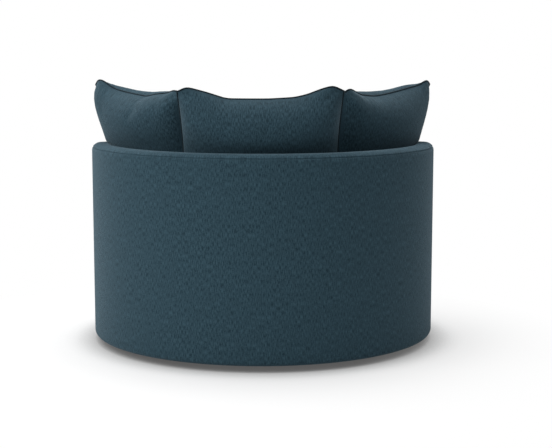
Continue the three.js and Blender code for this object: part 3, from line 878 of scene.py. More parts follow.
@dataclass(frozen=True)
class TubSize:
    """The tub's sizes, over its fabric."""

    radius: float = 0.6
    wall: float = 0.072
    half_angle: float = math.radians(127.5)
    back_height: float = 0.682
    rim_rise: float = 0.011
    rim_fall: float = 0.011
    fall_from: float = math.radians(80)
    fall_to: float = math.radians(105)
    rail_rise: float = 0.014
    rim_rounding: float = 0.028
    seam_drop: float = 0.014
    hem_gap: float = 0.02
    hem_rounding: float = 0.015
    hem_turn_in: float = 0.038
    cover: float = 0.0023
    wadding_back: float = 0.588
    foam_back: float = 0.5533
    board_bottom: float = 0.0386
    deck_bottom: float = 0.2443
    deck_top: float = 0.2688
    front_rounding: float = 0.012
    gap: float = 0.0003
    seam_lap: float = 0.006
    touch: float = 0.001

    @property
    def hem_top(self) -> float:
        """The height at which the hem's rounding starts."""
        return self.hem_gap + self.hem_rounding

    @property
    def seat_radius(self) -> float:
        """The inside radius of the wall."""
        return self.radius - self.wall

    def rise_at(self, angle: np.ndarray | float) -> np.ndarray | float:
        """How much higher the rim is at an angle than at the middle of the back.

        It rises towards the sides and falls a little past them.

        Args:
            angle: one angle or many.

        Returns:
            A height for each angle.
        """
        share = np.clip((np.abs(angle) - self.fall_from) / (self.fall_to - self.fall_from), 0, 1)
        return self.rim_rise * (1 - np.cos(angle)) - self.rim_fall * share ** 2 * (3 - 2 * share)

    def crest_at(self, angle: float) -> float:
        """The rim's height at an angle."""
        return self.back_height + float(self.rise_at(angle))

    def lift(self, piece: bpy.types.Object) -> None:
        """Raises a spun wall piece towards the rim by the rim's rise at each angle.

        The hidden faces over the timber rail follow the rail instead.

        Args:
            piece: an object that spin_outline made at the height of the middle of the back.
        """
        places = points_of(piece)
        low, high = self.board_bottom, self.back_height - self.rim_rounding
        share = np.clip((places[:, 2] - low) / (high - low), 0, 1)
        angle = np.arctan2(places[:, 0], places[:, 1])
        radius = np.hypot(places[:, 0], places[:, 1])
        level = np.abs(places[:, 2] - high) < self.touch
        over_rail = level & (radius > self.foam_back - self.touch) & (radius < self.wadding_back + self.touch)
        rise = np.where(over_rail, self.rail_rise * (1 - np.cos(angle)), self.rise_at(angle))
        places[:, 2] += share * rise
        move_points(piece, places)

    def hem_outline(self) -> list[Point]:
        """The hem: its rounding, its turn-in under the tub, and the cover's inside up to the board.

        Returns:
            The points from the cover's outside to the back of the wadding.
        """
        middle = (self.radius - self.hem_rounding, self.hem_top)
        turned_in = self.radius - self.hem_turn_in
        outline = arc(middle, self.hem_rounding, 0, -90, 6)
        outline += [(turned_in, self.hem_gap), (turned_in, self.hem_gap + self.cover)]
        outline += arc(middle, self.hem_rounding - self.cover, -90, 0, 4)
        outline += [(self.radius - self.cover, self.board_bottom), (self.wadding_back, self.board_bottom)]
        return outline


@dataclass
class Upholstery:
    """The fabric-covered outside of the tub: walls, rim, arm fronts, front border and deck.

    The rim seam's shoulders are where the cloth beside it is full again, in half widths of the seam.
    The wrap margin keeps the edge where a cloth starts from falling a whole turn behind.
    """

    size: TubSize = field(default_factory=TubSize)
    seam_width: float = 0.0028
    seam_depth: float = 0.0014
    seam_parting: float = 0.2
    lower_lip: float = 0.0008
    upper_lip: float = 0.0006
    shoulder: float = 1.8
    upper_shoulder: float = 4.0
    upper_full: float = 6.0
    around_steps: int = 120
    wrap_margin: float = 0.01
    arm_cloth_start: float = 0.2
    arm_steps: int = 20
    border_steps: int = 50
    deck_rounding: float = 0.004
    deck_tuck: float = 0.002
    deck_margin: float = 0.02
    deck_sag: float = 0.0018
    deck_waves: float = 9.0
    deck_steps: int = 72
    sheet_thickness: float = 0.0012
    sheet_sag: float = 0.0012
    sheet_steps: int = 96
    staples: int = 24
    ring_clearance: float = 0.02
    pieces: Pieces = field(default_factory=list)

    def seam_turn(self) -> float:
        """The seam's place on the outer rounding of the rim, in degrees above level."""
        size = self.size
        return math.degrees(math.asin((size.rim_rounding - size.seam_drop) / size.rim_rounding))

    def half_seam(self) -> float:
        """Half the seam's width on the rim's rounding, in degrees."""
        return math.degrees(self.seam_width / 2 / self.size.rim_rounding)

    def cover(self, piece: bpy.types.Object, *replaced: str) -> None:
        """Finishes a padded piece in the chair's fabric.

        Args:
            piece: the object, with its cloth map.
            replaced: the frame's nodes that it stands for.
        """
        smooth(piece)
        COVER_FABRIC.paint(piece)
        install(piece, Body.TUB, Slot.COVER, *replaced)
        self.pieces.append(piece)

    def dress(self, piece: bpy.types.Object, start: float, *replaced: str) -> None:
        """Gives a spun piece its cloth map, finish and place in the frame.

        Args:
            piece: the object.
            start: the angle at which its cloth starts.
            replaced: the frame's nodes that it stands for.
        """
        places = points_of(piece)
        angle = (np.arctan2(places[:, 0], places[:, 1]) - start + self.wrap_margin) % (2 * math.pi)
        lay_cloth_map(piece, np.stack([angle * self.size.radius, along_of(piece)], axis=1))
        self.cover(piece, *replaced)

    def wall(self, name: str, outline: Sequence[Point], *replaced: str) -> None:
        """Spins an outline round the back, from arm to arm, and raises it to the rim.

        Args:
            name: the piece's name.
            outline: (radius, height) points at the middle of the back, once round.
            replaced: the frame's nodes that it stands for.
        """
        end = self.size.half_angle
        piece = spin_outline(name, outline, -end, end, self.around_steps)
        self.size.lift(piece)
        self.dress(piece, -end, *replaced)

    def outside_wall(self) -> None:
        """The outside of the wrap-around back, from the rim seam to the hem that turns under the tub."""
        size, turn, half = self.size, self.seam_turn(), self.half_seam()
        middle = (size.radius - size.rim_rounding, size.back_height - size.rim_rounding)
        outline = [spot(middle, size.rim_rounding - self.seam_depth, turn - self.seam_parting),
                   spot(middle, size.rim_rounding - self.lower_lip, turn - half)]
        outline += arc(middle, size.rim_rounding, turn - self.shoulder * half, 0, 4)
        outline += line((size.radius, middle[1]), (size.radius, size.hem_top), 30)
        outline += size.hem_outline()
        outline += line((size.wadding_back, size.board_bottom), (size.wadding_back, middle[1]), 6)
        outline += [(size.wadding_back, middle[1]), (size.radius - size.seam_lap, middle[1] + size.gap)]
        self.wall("outside_wall", outline, "outside_cover", "outer_wadding")

    def inside_wall(self) -> None:
        """The rim and the inside of the wrap-around back, from the rim seam down to the deck."""
        size, turn, half = self.size, self.seam_turn(), self.half_seam()
        outer = (size.radius - size.rim_rounding, size.back_height - size.rim_rounding)
        inner = (size.seat_radius + size.rim_rounding, outer[1])
        proud = size.rim_rounding + self.upper_lip
        outline = [spot(outer, size.rim_rounding - self.seam_depth, turn + self.seam_parting),
                   spot(outer, size.rim_rounding - self.upper_lip, turn + half)]
        outline += arc(outer, proud, turn + self.shoulder * half, turn + self.upper_shoulder * half, 2)
        outline += arc(outer, size.rim_rounding, turn + self.upper_full * half, 90, 6)
        outline += line((outer[0], size.back_height), (inner[0], size.back_height), 3)
        outline += arc(inner, size.rim_rounding, 90, 180, 9)
        outline += line((size.seat_radius, inner[1]), (size.seat_radius, size.deck_bottom), 20)
        outline += [(size.seat_radius, size.deck_bottom), (size.foam_back, size.deck_bottom)]
        outline += line((size.foam_back, size.deck_bottom), (size.foam_back, inner[1]), 6)
        outline += [(size.foam_back, inner[1] + size.gap), (size.wadding_back, inner[1] + size.gap)]
        outline += [(size.radius - size.seam_lap, inner[1] + size.gap * 2)]
        self.wall("inside_wall", outline, "inside_cover", "inner_foam", "rim_roll")

    def arm_front(self, name: str, side: int) -> None:
        """The half-round front end of an arm.

        Args:
            name: left or right, as the sitter sees it.
            side: 1 at the left, -1 at the right.
        """
        size, half = self.size, self.size.wall / 2
        crest = size.crest_at(size.half_angle)
        bottom = size.deck_top + size.gap
        corner = (half - size.rim_rounding, crest - size.rim_rounding)
        outline = [(0.0, bottom)] + line((0.0, bottom), (half, bottom), 3) + [(half, bottom)]
        outline += line((half, bottom), (half, corner[1]), 16)
        outline += arc(corner, size.rim_rounding, 0, 90, 8)
        outline += [(0.0, crest)] + line((0.0, crest), (0.0, bottom), 2)
        piece = spin_outline(f"arm_front_{name}", outline, -math.pi / 2, math.pi / 2, self.arm_steps)
        mend(piece, MERGE_DISTANCE)
        places = points_of(piece)
        x, y = places[:, 0].copy(), places[:, 1].copy()
        around = np.arctan2(x, y) * half + self.arm_cloth_start
        lay_cloth_map(piece, np.stack([around, along_of(piece)], axis=1))
        end, middle = size.half_angle, size.radius - half
        turn = side * (end + math.pi / 2)
        shift = (side * (middle * math.sin(end) + size.gap * math.cos(end)),
                 middle * math.cos(end) - size.gap * math.sin(end))
        places[:, 0] = x * math.cos(turn) + y * math.sin(turn) + shift[0]
        places[:, 1] = -x * math.sin(turn) + y * math.cos(turn) + shift[1]
        move_points(piece, places)
        self.cover(piece, f"arm_cover_{name}", f"arm_end_foam_{name}")

    def front_border(self) -> None:
        """The front of the tub under the seat cushion, between the two arms."""
        size = self.size
        top = (size.radius - size.front_rounding, size.deck_top - size.front_rounding)
        outline = [(size.seat_radius, size.deck_top)]
        outline += line((size.seat_radius, size.deck_top), (top[0], size.deck_top), 4)
        outline += arc(top, size.front_rounding, 90, 0, 6)
        outline += line((size.radius, top[1]), (size.radius, size.hem_top), 12)
        outline += size.hem_outline()
        outline += [(size.wadding_back, size.deck_bottom), (size.seat_radius, size.deck_bottom)]
        start = size.half_angle + size.gap / size.seat_radius
        piece = spin_outline("front_border", outline, start, 2 * math.pi - start, self.border_steps)
        self.dress(piece, start, "front_cover", "front_wadding")

    def lay_black_cloth(self, piece: bpy.types.Object, places: np.ndarray, replaced: str) -> None:
        """Puts a level piece's points in place and finishes it in black cloth, mapped from above.

        Args:
            piece: the object.
            places: x, y and z for each vertex.
            replaced: the frame's node that it stands for.
        """
        move_points(piece, places)
        lay_cloth_map(piece, places[:, :2])
        smooth(piece)
        BLACK_CLOTH.paint(piece)
        install(piece, Body.TUB, Slot.BLACK_CLOTH, replaced)
        self.pieces.append(piece)

    def deck(self) -> None:
        """The pad over the seat springs, with its cloth drawn down at the edge."""
        low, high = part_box("deck_pad")
        rounding, corner = self.deck_rounding, high.x - self.deck_rounding
        outline = [(0.0, low.z), (high.x - self.deck_tuck, low.z)]
        outline += arc((corner, low.z + rounding), rounding, -60, 0, 3)
        outline += arc((corner, high.z - rounding), rounding, 0, 90, 4)
        outline += line((corner, high.z), (0.0, high.z), 12) + [(0.0, high.z)]
        piece = spin_outline("deck_cloth", outline, 0, 2 * math.pi, self.deck_steps)
        places = points_of(piece)
        for i, (x, y, z) in enumerate(places):
            if z > high.z - self.size.touch and math.hypot(x, y) < high.x - self.deck_margin:
                wave = noise.noise(Vector((x * self.deck_waves, y * self.deck_waves, 0)))
                places[i, 2] -= self.deck_sag * (1 + wave)
        self.lay_black_cloth(piece, places, "deck_pad")

    def dust_cloth(self) -> None:
        """The thin cloth stretched under the base board, round the turntable, and stapled at its edge."""
        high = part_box("dust_cover")[1]
        outer, top = high.x, high.z
        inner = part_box("turntable_outer_ring")[1].x + self.ring_clearance
        under = top - self.sheet_thickness
        outline = [(inner, top), (inner, under)] + line((inner, under), (outer, under), 16)
        outline += [(outer, under), (outer, top)]
        piece = spin_outline("dust_cloth", outline, 0, 2 * math.pi, self.sheet_steps)
        places = points_of(piece)
        radius = np.hypot(places[:, 0], places[:, 1])
        angle = np.arctan2(places[:, 0], places[:, 1])
        share = np.clip((radius - inner) / (outer - inner), 0, 1)
        places[:, 2] -= self.sheet_sag * share ** 4 * (1 + np.sin(self.staples * angle)) / 2
        self.lay_black_cloth(piece, places, "dust_cover")

    def build(self) -> Pieces:
        """Builds and dresses every piece of the tub's upholstery.

        Returns:
            The pieces.
        """
        self.outside_wall()
        self.inside_wall()
        self.arm_front("left", 1)
        self.arm_front("right", -1)
        self.front_border()
        self.deck()
        self.dust_cloth()
        return self.pieces


# Loose cushions


@dataclass(frozen=True)
class Swelling:
    """How the cloth of a cushion is blown up by its filling."""

    pressure: float = 4.0
    frames: int = 20
    limit: float = 0.022
    quality: int = 6
    mass: float = 0.35
    stretch_stiffness: float = 18.0
    shear_stiffness: float = 8.0
    bend_stiffness: float = 0.6

    def swell(self, piece: bpy.types.Object, held: Sequence[int]) -> None:
        """Runs the cloth on a piece and keeps the result in its mesh.

        Args:
            piece: a closed mesh.
            held: the vertices that stay where they are.
        """
        before = points_of(piece)
        activate(piece)
        cloth = piece.modifiers.new("Cloth", "CLOTH")
        settings = cloth.settings
        settings.use_pressure = True
        settings.uniform_pressure_force = self.pressure
        settings.effector_weights.gravity = 0
        settings.quality = self.quality
        settings.mass = self.mass
        settings.tension_stiffness = settings.compression_stiffness = self.stretch_stiffness
        settings.shear_stiffness = self.shear_stiffness
        settings.bending_stiffness = self.bend_stiffness
        piece.vertex_groups.new(name="held").add(list(held), 1.0, "REPLACE")
        settings.vertex_group_mass = "held"
        for number in range(1, self.frames + 1):
            bpy.context.scene.frame_set(number)
        bpy.ops.object.modifier_apply(modifier=cloth.name)
        piece.vertex_groups.clear()
        bpy.context.scene.frame_set(1)
        moved = points_of(piece) - before
        length = np.maximum(np.linalg.norm(moved, axis=1), 1e-9)
        kept = np.minimum(length, self.limit) / length
        move_points(piece, before + moved * kept[:, None])


@dataclass(frozen=True)
class SeatTop:
    """The crowned top of the seat cushion, which the back cushions stand on."""

    edge_height: float = 0.4291
    reach: float = 0.515
    crown: float = 0.014
    dents: float = 0.0015
    dent_waves: float = 6.0
    dent_seed: float = 2.0
    flat_margin: float = 0.1

    def heights(self, places: np.ndarray, inside: np.ndarray) -> np.ndarray:
        """The top's height at points.

        Args:
            places: points with x and y first.
            inside: how far each is inside the top's outline.

        Returns:
            A height for each point.
        """
        share = np.clip(inside / self.reach, 0, 1)
        waves = np.array([noise.noise(Vector((x * self.dent_waves, y * self.dent_waves, self.dent_seed)))
                          for x, y in places[:, :2]])
        dented = self.dents * (1 + waves) * np.clip(inside / self.flat_margin, 0, 1)
        return self.edge_height + self.crown * (1 - (1 - share) ** 2) - dented


@dataclass(frozen=True)
class CushionSize:
    """A back cushion's sizes, its top line, and its place and turn in the chair.

    The top line is how far the top seam hangs below the ears, by the share of the half width.
    That share is 1 at the end by the arm, and at the sitter's left on the centre cushion.
    """

    name: str
    body: Body
    half_width: float
    half_height: float
    half_thickness: float
    bend_radius: float
    place: Place
    turn: float
    top_line: tuple[Point, ...]
    tilt: float = math.radians(11)
    side: int = 0
    widening: float = 0.0
    belly: float = 0.035
    belly_height: float = 0.55
    belly_spread: float = 0.33
    ear_lean: float = 0.0
    front_fullness: float = 6.0
    back_fullness: float = 1.8
    front_rise: float = 0.0
    rise_place: float = 0.6
    rise_spread: float = 0.35
    corner_pull: float = 0.047
    shift: float = 0.0
    seed: float = 0.0

    def axes(self) -> tuple[np.ndarray, np.ndarray, np.ndarray]:
        """The cushion's own directions.

        Returns:
            Across it, up its height, and out towards the wall.
        """
        across = np.array([math.cos(self.turn), -math.sin(self.turn), 0])
        outwards = np.array([math.sin(self.turn), math.cos(self.turn), 0])
        upwards = np.array([0, 0, 1.0])
        up = upwards * math.cos(self.tilt) + outwards * math.sin(self.tilt)
        out = outwards * math.cos(self.tilt) - upwards * math.sin(self.tilt)
        return across, up, out


CENTRE = CushionSize(
    "centre", Body.CENTRE, 0.27, 0.236, 0.084, 1.25, (0, 0.424, 0.657), 0,
    ((-1, 0.018), (-0.86, 0.001), (-0.7, 0.0135), (-0.55, 0.029), (-0.4, 0.038), (-0.1, 0.042), (0.4, 0.042),
     (0.62, 0.0235), (0.88, 0.0055), (1, 0.0205)), corner_pull=0.022, shift=0.008, seed=1.0)
LEFT = CushionSize(
    "left", Body.LEFT, 0.266, 0.239, 0.084, 2.4, (0.392, 0.14, 0.667), math.radians(53),
    ((-1, 0.035), (-0.82, 0.0255), (-0.66, 0.038), (-0.38, 0.0435), (-0.2, 0.051), (0.25, 0.039),
     (0.5, 0.028), (0.62, 0.018), (0.78, -0.006), (0.88, -0.0125), (0.94, -0.012), (1, 0.003)),
    side=1, widening=0.066, belly=0.033, belly_height=0.76, belly_spread=0.5, ear_lean=0.022,
    front_fullness=12.0, front_rise=0.01972, seed=7.0)
RIGHT = CushionSize(
    "right", Body.RIGHT, 0.266, 0.239, 0.084, 2.4, (-0.392, 0.14, 0.667), math.radians(-53),
    ((-1, 0.03), (-0.86, 0.0195), (-0.6, 0.045), (-0.3, 0.05), (0, 0.0425), (0.3, 0.0315), (0.7, 0.0125),
     (0.88, -0.0095), (0.93, -0.0135), (1, 0.001)),
    side=-1, widening=0.06, belly=0.021, belly_height=0.72, belly_spread=0.5, ear_lean=0.022,
    front_fullness=13.0, front_rise=0.0238, seed=13.0)


@dataclass
class BackCushion:
    """A knife-edge back cushion with its self-piping.

    The top line reaches a little past the ears, so that easing its corners doesn't draw in its ends.
    """

    size: CushionSize
    tub: TubSize = field(default_factory=TubSize)
    columns: int = 64
    rows: int = 56
    thickness_share: float = 0.95
    edge_power: float = 0.62
    line_reach: float = 1.3
    line_points: int = 261
    easing_points: int = 21
    bottom_pull: float = 0.1
    side_pull: float = 0.085
    side_bulge: float = 0.009
    gathers: float = 22.0
    gather_depth: float = 0.006
    gather_reach: float = 0.1
    stitch_reach: float = 0.02
    folds: int = 7
    fold_depth: float = 0.04
    fold_reach: float = 0.13
    smoothing: int = 8
    wall_gap: float = 0.002
    rest_gap: float = 0.0008
    maps_apart: float = 2.0
    seat: SeatTop = field(default_factory=SeatTop)
    piping_radius: float = 0.0027
    swelling: Swelling = field(default_factory=Swelling)

    @property
    def front_count(self) -> int:
        """The number of points on the sitter's face, with the seam."""
        return (self.columns + 1) * (self.rows + 1)

    def hang(self, u: np.ndarray) -> np.ndarray:
        """How far the top seam hangs below the ears, with its line's corners eased.

        Args:
            u: from -1 to 1 across.

        Returns:
            A drop in metres for each point.
        """
        shares, drops = zip(*self.size.top_line)
        fine = np.linspace(-self.line_reach, self.line_reach, self.line_points)
        weights = np.exp(-np.linspace(-2, 2, self.easing_points) ** 2)
        eased = np.convolve(np.interp(fine, shares, drops), weights / weights.sum(), "same")
        return np.interp(u * (self.size.side or 1), fine, eased)

    def placed(self, u: np.ndarray, v: np.ndarray, face: int) -> np.ndarray:
        """Puts points of one face in the cushion's form.

        The sitter's face stands up behind the hanging top seam.
        The face at the wall bellies out over the rim.

        Args:
            u: from -1 to 1 across.
            v: from -1 to 1 up.
            face: -1 for the sitter's face, 1 for the face at the wall.

        Returns:
            Across, up and out for each point.
        """
        size = self.size
        outer, upper = np.maximum(u * size.side, 0), np.maximum(v, 0)
        corner = size.corner_pull * (np.abs(u) * np.abs(v)) ** 5
        waist = 1 - self.side_pull * (1 - v ** 2) - corner
        sideways = u * size.half_width * (1 + size.widening * outer) * waist
        low = self.bottom_pull * (1 - np.abs(u) ** 3) * np.maximum(-v, 0) ** 2
        fullness = size.back_fullness if face > 0 else size.front_fullness
        height = v * size.half_height * (1 - low - corner) - self.hang(u) * upper ** fullness
        swell = np.maximum((1 - u ** 2) * (1 - v ** 2), 0) ** self.edge_power
        depth = face * size.half_thickness * self.thickness_share * swell
        if face > 0:
            belly = np.exp(-((v - size.belly_height) / size.belly_spread) ** 2)
            depth += size.belly * belly * (1 - u ** 14) * (1 - v ** 8)
            sideways += np.sign(u) * self.side_bulge * u ** 6 * (1 - u ** 20) * (1 - v ** 4)
        else:
            rise = np.exp(-((outer - size.rise_place) / size.rise_spread) ** 2)
            height += size.front_rise * rise * upper ** 6 * (1 - v ** 30)
        depth += size.ear_lean * (outer * upper) ** 2
        depth -= sideways ** 2 / 2 / size.bend_radius
        return np.stack([sideways + size.shift, height, depth], axis=1)

    def puckers(self, u: np.ndarray, v: np.ndarray) -> np.ndarray:
        """The small gathers that the stitching makes along the seam, and the folds that run out of the ears.

        Args:
            u: from -1 to 1 across.
            v: from -1 to 1 up.

        Returns:
            How far out each point goes.
        """
        across, up = 1 - np.abs(u), 1 - np.abs(v)
        seed = self.size.seed
        heights = []
        for i in range(len(u)):
            near = min(across[i], up[i])
            run = (u[i] if up[i] < across[i] else v[i]) * self.gathers
            gather = noise.noise(Vector((run + seed, np.sign(u[i]), seed)))
            fade = math.exp(-near / self.gather_reach) * (1 - math.exp(-near / self.stitch_reach))
            spread = math.hypot(across[i], up[i])
            turn = math.atan2(up[i], across[i])
            fold = math.sin(self.folds * turn + seed) * spread * math.exp(-spread / self.fold_reach)
            heights.append(self.gather_depth * gather * fade + self.fold_depth * fold)
        return np.array(heights)

    def in_chair(self, local: np.ndarray) -> np.ndarray:
        """Turns across, up and out into places in the chair."""
        across, up, out = self.size.axes()
        return np.array(self.size.place) + local @ np.stack([across, up, out])

    def settle(self, places: np.ndarray) -> np.ndarray:
        """Presses points off the wall, the rim, the seat cushion and the centre cushion's way up.

        Args:
            places: points in the chair.

        Returns:
            The points, moved where they would touch.
        """
        tub, reach = self.tub, self.tub.rim_rounding + self.wall_gap
        radius = np.hypot(places[:, 0], places[:, 1])
        crest = tub.back_height + tub.rise_at(np.arctan2(places[:, 0], places[:, 1]))
        above = places[:, 2] - (crest - tub.rim_rounding)
        draw_in = np.where(above <= 0, reach, np.sqrt(np.maximum(reach ** 2 - above ** 2, 0)))
        limit = tub.seat_radius + tub.rim_rounding - draw_in
        near = (above < reach) & (radius > limit)
        rise = near & (radius - limit > reach - above)
        inwards = near & ~rise
        places = places.copy()
        places[rise, 2] += (reach - above)[rise]
        places[inwards, :2] *= (limit / radius)[inwards, None]
        if self.size.side:
            across, _, out = CENTRE.axes()
            start = places - np.array(CENTRE.place)
            share = start @ across / CENTRE.half_width
            swell = CENTRE.half_thickness * np.maximum(1 - share ** 2, 0) ** self.edge_power
            bend = (start @ across) ** 2 / 2 / CENTRE.bend_radius
            front = -bend - swell - self.rest_gap * 2
            over = np.where(np.abs(share) < 1, np.maximum(start @ out - front, 0), 0)
            places -= over[:, None] * out
        inside = self.seat.reach - np.hypot(places[:, 0], places[:, 1])
        places[:, 2] = np.maximum(places[:, 2], self.seat.heights(places, inside) + self.rest_gap)
        return places

    def sheet_points(self) -> tuple[np.ndarray, list[tuple[int, ...]], np.ndarray, list[int]]:
        """The two faces, joined along the seam.

        Returns:
            The points (across, up, out), the faces, u and v for each point, and the seam's vertices in order.
        """
        columns, rows = self.columns, self.rows
        grid_u, grid_v = np.meshgrid(np.linspace(-1, 1, columns + 1), np.linspace(-1, 1, rows + 1))
        u, v = grid_u.ravel(), grid_v.ravel()
        count = len(u)
        seam = (np.abs(u) == 1) | (np.abs(v) == 1)
        front = self.placed(u, v, -1)
        back = self.placed(u[~seam], v[~seam], 1)
        index = np.full(count, -1)
        index[~seam] = count + np.arange((~seam).sum())
        index[seam] = np.arange(count)[seam]
        faces = []
        for j in range(rows):
            for i in range(columns):
                corner = j * (columns + 1) + i
                quad = (corner, corner + 1, corner + columns + 2, corner + columns + 1)
                faces.append(quad)
                faces.append(tuple(int(index[k]) for k in reversed(quad)))
        shares = np.concatenate([np.stack([u, v], axis=1), np.stack([u[~seam], v[~seam]], axis=1)])
        across = columns + 1
        ring = list(range(across)) + [j * across + columns for j in range(1, rows + 1)]
        ring += [rows * across + i for i in range(columns - 1, -1, -1)]
        ring += [j * across for j in range(rows - 1, 0, -1)]
        return np.concatenate([front, back]), faces, shares, ring

    def gather_in(self, piece: bpy.types.Object, shares: np.ndarray, ring: Sequence[int]) -> None:
        """Puts in the gathers and folds, and presses the cushion into its place.

        Args:
            piece: the cushion.
            shares: u and v for each vertex.
            ring: the seam's vertices.
        """
        puckers = self.puckers(shares[:, 0], shares[:, 1])
        puckers[:self.front_count] *= -1
        puckers[ring] = 0
        out = self.size.axes()[2]
        move_points(piece, self.settle(points_of(piece) + puckers[:, None] * out))

    def build(self) -> Pieces:
        """Builds the cushion and its piping.

        Returns:
            The two pieces.
        """
        size = self.size
        local, faces, shares, ring = self.sheet_points()
        piece = mesh_piece(f"{size.name}_back_cushion", self.in_chair(local), faces)
        spots = shares * np.array([size.half_width, size.half_height])
        spots[self.front_count:] += self.maps_apart
        lay_cloth_map(piece, spots)
        self.swelling.swell(piece, ring)
        soften(piece, sorted(set(range(len(piece.data.vertices))) - set(ring)), self.smoothing)
        self.gather_in(piece, shares, ring)
        crease(piece, ring)
        apply_modifier(piece, "SUBSURF", levels=1, render_levels=1)
        seam = points_of(piece)[ring]
        activate(piece)
        bpy.ops.object.shade_smooth()
        SHADED_CUSHION_FABRIC.paint(piece)
        install(piece, size.body, Slot.CUSHION, f"{size.name}_cushion_cover", f"{size.name}_cushion_filling")
        piping = tube(f"{size.name}_back_cushion_piping", seam, self.piping_radius)
        SHADED_PIPING_FABRIC.paint(piping)
        install(piping, size.body, Slot.CUSHION)
        return [piece, piping]


@dataclass
class SeatCushion:
    """The boxed seat cushion, with an ear in front of each arm and piping along both edges."""

    tub: TubSize = field(default_factory=TubSize)
    top: SeatTop = field(default_factory=SeatTop)
    bottom: float = 0.2691
    wall_gap: float = 0.004
    front_inset: float = 0.008
    arm_gap: float = 0.006
    ear_rounding: float = 0.024
    edge_rounding: float = 0.009
    piping_radius: float = 0.003
    back_steps: int = 110
    front_steps: int = 50
    ear_steps: int = 6
    side_steps: int = 10
    smoothing: int = 12
    under_shares: tuple[float, ...] = (0.0, 0.25, 0.5, 0.75, 0.93, 1.0)
    over_shares: tuple[float, ...] = (
        1.0, 0.985, 0.96, 0.92, 0.86, 0.78, 0.68, 0.56, 0.42, 0.28, 0.14, 0.0)
    edge_turn: tuple[Point, ...] = ((0.0022, 0.0035), (0.0003, 0.008))
    side_swell: float = 0.0016
    pole: float = 1e-4
    merge: float = 4e-4
    maps_apart: float = 4.0
    piping_inset: float = 0.45
    upper_piping_drop: float = 0.0015
    lower_piping_gap: float = 0.0004

    def plan(self, inset: float) -> np.ndarray:
        """The cushion's outline seen from above.

        Args:
            inset: how far inside the outline to go.

        Returns:
            x and y for each point, once round.
        """
        tub, side = self.tub, self.tub.half_angle
        back = tub.seat_radius - self.wall_gap - inset
        front = tub.radius - self.front_inset - inset
        middle = tub.seat_radius + tub.wall / 2
        arm = tub.wall / 2 + self.arm_gap + inset
        notch = side + arm / middle
        ear = self.ear_rounding / front
        turns = [math.pi / 2 * i / self.ear_steps for i in range(self.ear_steps + 1)]
        points = [(back, -side + 2 * side * i / self.back_steps) for i in range(self.back_steps + 1)]
        half = []
        for turn in turns[1:]:
            reach = middle - back + (arm - middle + back) * math.sin(turn)
            radius, along = middle - reach * math.cos(turn), reach * math.sin(turn)
            half.append((math.hypot(radius, along), side + math.atan2(along, radius)))
        half += [(front - self.ear_rounding * (1 - math.sin(turn)), notch + ear * (1 - math.cos(turn)))
                 for turn in turns]
        start = notch + ear
        face = [(front, start + (2 * math.pi - 2 * start) * i / self.front_steps)
                for i in range(1, self.front_steps)]
        points += half + face + [(r, -a) for r, a in reversed(half)]
        return np.array([(r * math.sin(a), r * math.cos(a)) for r, a in points])

    def inside(self, places: np.ndarray, plan: np.ndarray) -> np.ndarray:
        """How far points are from an outline.

        Args:
            places: points with x and y first.
            plan: the outline's x and y, once round.

        Returns:
            A distance for each point.
        """
        runs = np.roll(plan, -1, axis=0) - plan
        starts = places[:, None, :2] - plan[None]
        share = np.clip((starts * runs).sum(axis=2) / (runs ** 2).sum(axis=1), 0, 1)
        return np.linalg.norm(starts - share[:, :, None] * runs, axis=2).min(axis=1)

    def side_levels(self) -> list[Point]:
        """The side of the cushion from its lower edge to where the upper edge starts to turn.

        Returns:
            The inset and the height of each level.
        """
        turned = self.edge_turn[-1][1]
        run = self.top.edge_height - self.bottom - 2 * turned
        levels = [(inset, self.bottom + rise) for inset, rise in self.edge_turn]
        for i in range(1, self.side_steps):
            bulge = self.side_swell * (1 - math.sin(math.pi * i / self.side_steps))
            levels.append((bulge, self.bottom + (turned + run * i / self.side_steps)))
        return levels

    def rings(self) -> tuple[list[np.ndarray], list[np.ndarray]]:
        """The rings of points that make the cushion, from the middle of its underside to the top's.

        Returns:
            x, y and z for each ring's points, and u and v for each ring's points.
        """
        edge, top = self.edge_rounding, self.top.edge_height
        under = [(share, edge, self.bottom) for share in self.under_shares]
        side = [(1.0, inset, z) for inset, z in self.side_levels()]
        over = [(1.0, inset, top - rise) for inset, rise in reversed(self.edge_turn)]
        over += [(share, edge, top) for share in self.over_shares]
        rings = []
        for share, inset, z in under + side + over:
            plan = self.plan(inset) * max(share, self.pole)
            rings.append(np.column_stack([plan, np.full(len(plan), z)]))
        first, last = len(under), len(under) + len(side)
        length = run_lengths(rings[first][:, :2])
        spots = [ring[:, :2] - self.maps_apart for ring in rings[:first]]
        spots += [np.column_stack([length, ring[:, 2]]) for ring in rings[first:last]]
        spots += [ring[:, :2] + self.maps_apart for ring in rings[last:]]
        return rings, spots

    def crown(self, piece: bpy.types.Object) -> None:
        """Raises the top towards its middle and eases the creases in it.

        Args:
            piece: the cushion.
        """
        places = points_of(piece)
        upper = np.nonzero(places[:, 2] > self.top.edge_height - self.tub.touch)[0]
        inside = self.inside(places[upper], self.plan(self.edge_rounding))
        places[upper, 2] = self.top.heights(places[upper], inside)
        move_points(piece, places)
        chosen = upper[inside > self.tub.touch].tolist()
        soften(piece, chosen, self.smoothing, use_x=False, use_y=False)

    def piping(self, label: str, height: float) -> bpy.types.Object:
        """Runs a piping round one of the cushion's edges.

        Args:
            label: the edge's name.
            height: the height of the piping's middle.

        Returns:
            The piping.
        """
        plan = self.plan(self.edge_rounding * self.piping_inset)
        path = np.column_stack([plan, np.full(len(plan), height)])
        piping = tube(f"seat_cushion_piping_{label}", path, self.piping_radius)
        SHADED_PIPING_FABRIC.paint(piping)
        install(piping, Body.SEAT, Slot.CUSHION)
        return piping

